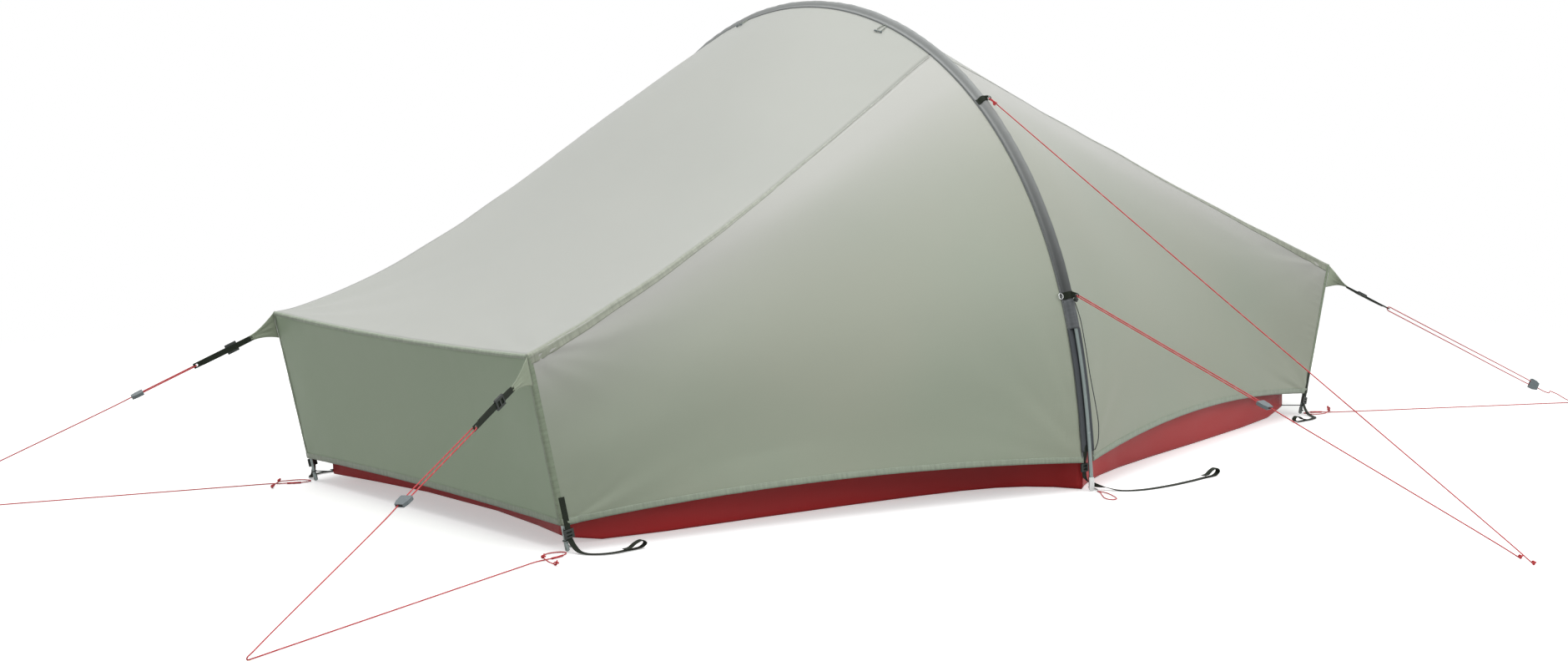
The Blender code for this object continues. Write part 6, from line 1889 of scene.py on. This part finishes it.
def make_toggle_bar(name, middle, ways):
    """The turned bar across the loop's end. Its length lies along the last of the three ways."""
    form = bmesh.new()
    half = TOGGLE_BAR_LENGTH / 2
    spots = [Vector((radius, 0, along / 1000 - half)) for radius, along in TOGGLE_BAR_PROFILE]
    spots += [Vector((spot.x, 0, -spot.z)) for spot in reversed(spots[:-1])]
    line = [form.verts.new(spot) for spot in spots]
    for first, second in zip(line, line[1:]):
        form.edges.new((first, second))
    bmesh.ops.spin(
        form, geom=form.verts[:] + form.edges[:], cent=(0, 0, 0), axis=(0, 0, 1), angle=2 * math.pi,
        steps=20, use_merge=True)
    bmesh.ops.remove_doubles(form, verts=form.verts[:], dist=0.00002)
    bmesh.ops.recalc_face_normals(form, faces=form.faces[:])
    place = Matrix.Translation(middle) @ Matrix(ways).transposed().to_4x4()
    bmesh.ops.transform(form, verts=form.verts[:], matrix=place)
    dress(to_object(f"{name}_bar", form, LOCK_PLASTIC), name, "elastic")


def make_toggles():
    surface = roof_surface(FRONT)
    for name, y in (("toggle_near", TOGGLE_NEAR_Y), ("toggle_far", TOGGLE_FAR_Y)):
        distance = distance_at_y(y)
        share = (distance - SEAM_DISTANCE) / (ARCH_LENGTH - 2 * SEAM_DISTANCE)
        root = surface(share, 0.0)
        ahead = (surface(share, 0.05) - root).normalized()
        across = arch_tangent(distance)
        across = (across - ahead * across.dot(ahead)).normalized()
        up = ahead.cross(across)
        if up.z < 0:
            up = -up
        base = root + ahead * 0.0005 + up * (FABRIC + GAP + TOGGLE_CORD_RADIUS)
        ahead = (ahead + up * ((TOGGLE_BAR_RADIUS - TOGGLE_CORD_RADIUS + GAP) / TOGGLE_LENGTH)).normalized()
        outline = ((0, -0.45), (0.35, -1), (0.85, -1), (1, 0), (0.85, 1), (0.35, 1), (0, 0.45))
        points = [
            base + ahead * (along * TOGGLE_LENGTH) + across * (aside * TOGGLE_LOOP_HALF)
            for along, aside in outline
        ]
        loop = tube(f"{name}_loop", curve_through(points, [6] * 6), TOGGLE_CORD_RADIUS * 2, ELASTIC)
        dress(loop, name, "elastic", name)
        make_toggle_bar(name, base + ahead * (TOGGLE_LENGTH - 0.001), (up, ahead, across))


# Inner tent

def tub_surface(rings):
    """u runs over the ground to the floor's edge and up the wall to its rim, and v runs round the floor."""
    foot = rings[1]
    count = len(foot)
    knots = [0.0, TUB_RISE_SHARE, 1.0]

    def place_at(u, v):
        spot = (v * count) % count
        low = int(spot) % count
        share = spot - int(spot)
        level = 0 if u < knots[1] else 1
        part = (u - knots[level]) / (knots[level + 1] - knots[level])
        first = rings[level][low].lerp(rings[level][(low + 1) % count], share)
        second = rings[level + 1][low].lerp(rings[level + 1][(low + 1) % count], share)
        point = first.lerp(second, part)
        tangent = (foot[(low + 1) % count] - foot[low]).normalized()
        square = Vector((tangent.y, -tangent.x, 0))
        swing = 0.6 * noise.noise(Vector((point.x * 9.0, point.y * 9.0, u * 2.0)))
        swing += noise.noise(Vector((point.x * 30.0, point.y * 30.0, u * 4.0)))
        if level == 1:
            point = point + square * (TUB_WALL_RELIEF * swing * bow(part) - TUB_WALL_INSET)
        else:
            point = point + Z_AXIS * max(0.0, TUB_GROUND_RELIEF * swing * bow(part))
        return point

    return place_at


def make_floor():
    inner = [Vector((point.x, point.y, TUB_MIDDLE_RISE)) for point in floor_outline(FLOOR_RIM, 0.0, True)]
    foot = [point.copy() for point in floor_outline(0.0, 0.0, False)]
    rim = [point.copy() for point in floor_outline(0.0, TUB_HEIGHT, False)]
    place_at = tub_surface([inner, foot, rim])
    form = bmesh.new()
    chart = form.loops.layers.uv.new("cloth")
    bmesh.ops.create_grid(form, x_segments=26, y_segments=len(foot) * 4, size=0.5)
    wide, long = TUB_MAP
    for face in form.faces:
        for corner in face.loops:
            corner[chart].uv = ((corner.vert.co.x + 0.5) * wide, (corner.vert.co.y + 0.5) * long)
    for vertex in form.verts:
        vertex.co = place_at(vertex.co.x + 0.5, vertex.co.y + 0.5)
    bmesh.ops.remove_doubles(form, verts=form.verts[:], dist=0.00005)
    hole = [edge for edge in form.edges if edge.is_boundary and edge.verts[0].co.z < 0.02]
    made = bmesh.ops.triangle_fill(form, edges=hole, use_beauty=True)
    for face in [part for part in made["geom"] if isinstance(part, bmesh.types.BMFace)]:
        for corner in face.loops:
            corner[chart].uv = corner.vert.co.xy
    bmesh.ops.recalc_face_normals(form, faces=form.faces[:])
    floor = to_object("groundsheet_tub", form, FLOOR_CLOTH)
    thicken(floor, TUB_THICKNESS)
    dress(floor, "tent", "groundsheet", "inner_floor")
    edge = foot + foot[:1]
    ground = abs(sum(one.x * two.y - one.y * two.x for one, two in zip(edge, edge[1:]))) / 2
    hooks = [piece for corner in CORNERS for piece in hook_to_strut(*corner)]
    ground + length_of(edge) * TUB_HEIGHT


def hook_to_strut(end, side, word):
    """A short elastic at a corner of the floor, with its eye round the strut."""
    foot, top = strut_ends(end, side)
    way = (top - foot).normalized()
    eye = foot + way * CORNER_ELASTIC_HEIGHT
    edge = floor_near_edge if side == NEAR else floor_far_edge
    x = end * (FLOOR_HALF_LENGTH - CORNER_ELASTIC_ASIDE)
    corner = Vector((x, edge(x), eye.z))
    out = corner - eye
    out = (out - way * out.dot(way)).normalized()
    radius = STRUT_RADIUS + GAP + RING_WIRE
    start = eye + out * radius
    route = [start.lerp(corner, step / 10) for step in range(11)]
    loop = ring(f"floor_eye_{word}", eye, out, way.cross(out), radius, RING_WIRE, FLOOR_ELASTIC)
    band = tube(f"floor_elastic_{word}", route, 2 * CORNER_ELASTIC_RADIUS, FLOOR_ELASTIC)
    return [dress(piece, "tent", "elastic") for piece in (loop, band)]


def tucked_canopy(u, v):
    """The canopy's near shoulder is drawn in a little where it passes below the arch."""
    point = canopy_surface(u, v)
    inwards = (Vector((point.x, *CANOPY_MIDDLE)) - point).normalized()
    spots = zip((u, v), SHOULDER_PLACE, SHOULDER_REACH)
    from_shoulder = sum(((spot - middle) / reach) ** 2 for spot, middle, reach in spots)
    return point + inwards * (CANOPY_TUCK * math.exp(-from_shoulder))


def place_of(x):
    """The canopy's share v along the tent at this x."""
    return (x / FLOOR_HALF_LENGTH + CANOPY_END_SHARE) / (2 * CANOPY_END_SHARE)


def make_canopy():
    """The canopy with its doorway, whose head and jambs are bound."""
    shape = relieved(tucked_canopy, Z_AXIS, CANOPY_MAP, 2.9, dent=0.007, gather=0.001)
    canopy = cloth("inner_canopy_cloth", 70, 96, shape, INNER_CLOTH, Z_AXIS, THIN_CLOTH, keep_canopy,
                   weld=0.0004, size=CANOPY_MAP)
    dress(canopy, "tent", "inner_cloth", "inner_canopy")
    front, rear = place_of(DOORWAY_FRONT_X), place_of(DOORWAY_REAR_X)

    def head(u, v):
        return shape(DOORWAY_HEAD - BINDING_BACK + HEAD_BINDING * u, mix(front, rear, v))

    def jamb_at(place):
        return lambda u, v: shape(mix(DOORWAY_HEAD, JAMB_FOOT, v), place - BINDING_BACK + JAMB_BINDING * u)

    for name, surface in (("head", head), ("front_jamb", jamb_at(front)), ("rear_jamb", jamb_at(rear))):
        strip = cloth(
            f"doorway_{name}", 4, 50, surface, INNER_BINDING, Y_AXIS, BINDING_THICKNESS, size=(0.012, 0.6))
        dress(strip, "tent", "inner_cloth")


def keep_canopy(u, v):
    """All of the canopy but its doorway."""
    along = mix(-CANOPY_END_SHARE, CANOPY_END_SHARE, v) * FLOOR_HALF_LENGTH
    return not (DOORWAY_FRONT_X < along < DOORWAY_REAR_X and DOORWAY_HEAD < u)


# Solids that stay get their finish

def finish_solids():
    finishes = {
        "arch_pole": POLE_ALLOY,
        "arch_foot": BRIGHT_ALLOY,
        "corner_strut": POLE_ALLOY,
        "corner_buckle": DARK_PLASTIC,
        "foot_buckle": DARK_PLASTIC,
        "line_lock": LOCK_PLASTIC,
        "zip_slider": BRIGHT_ALLOY,
    }
    for name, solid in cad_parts.items():
        for start, finish in finishes.items():
            if name.startswith(start):
                solid.data.materials.clear()
                solid.data.materials.append(finish)


def main():
    place_camera()
    make_cords()
    make_studio()
    make_fly()
    make_sleeve()
    make_corner_straps()
    make_foot_straps()
    make_bands()
    make_toggles()
    make_floor()
    make_canopy()
    declare_fly()
    finish_solids()


main()
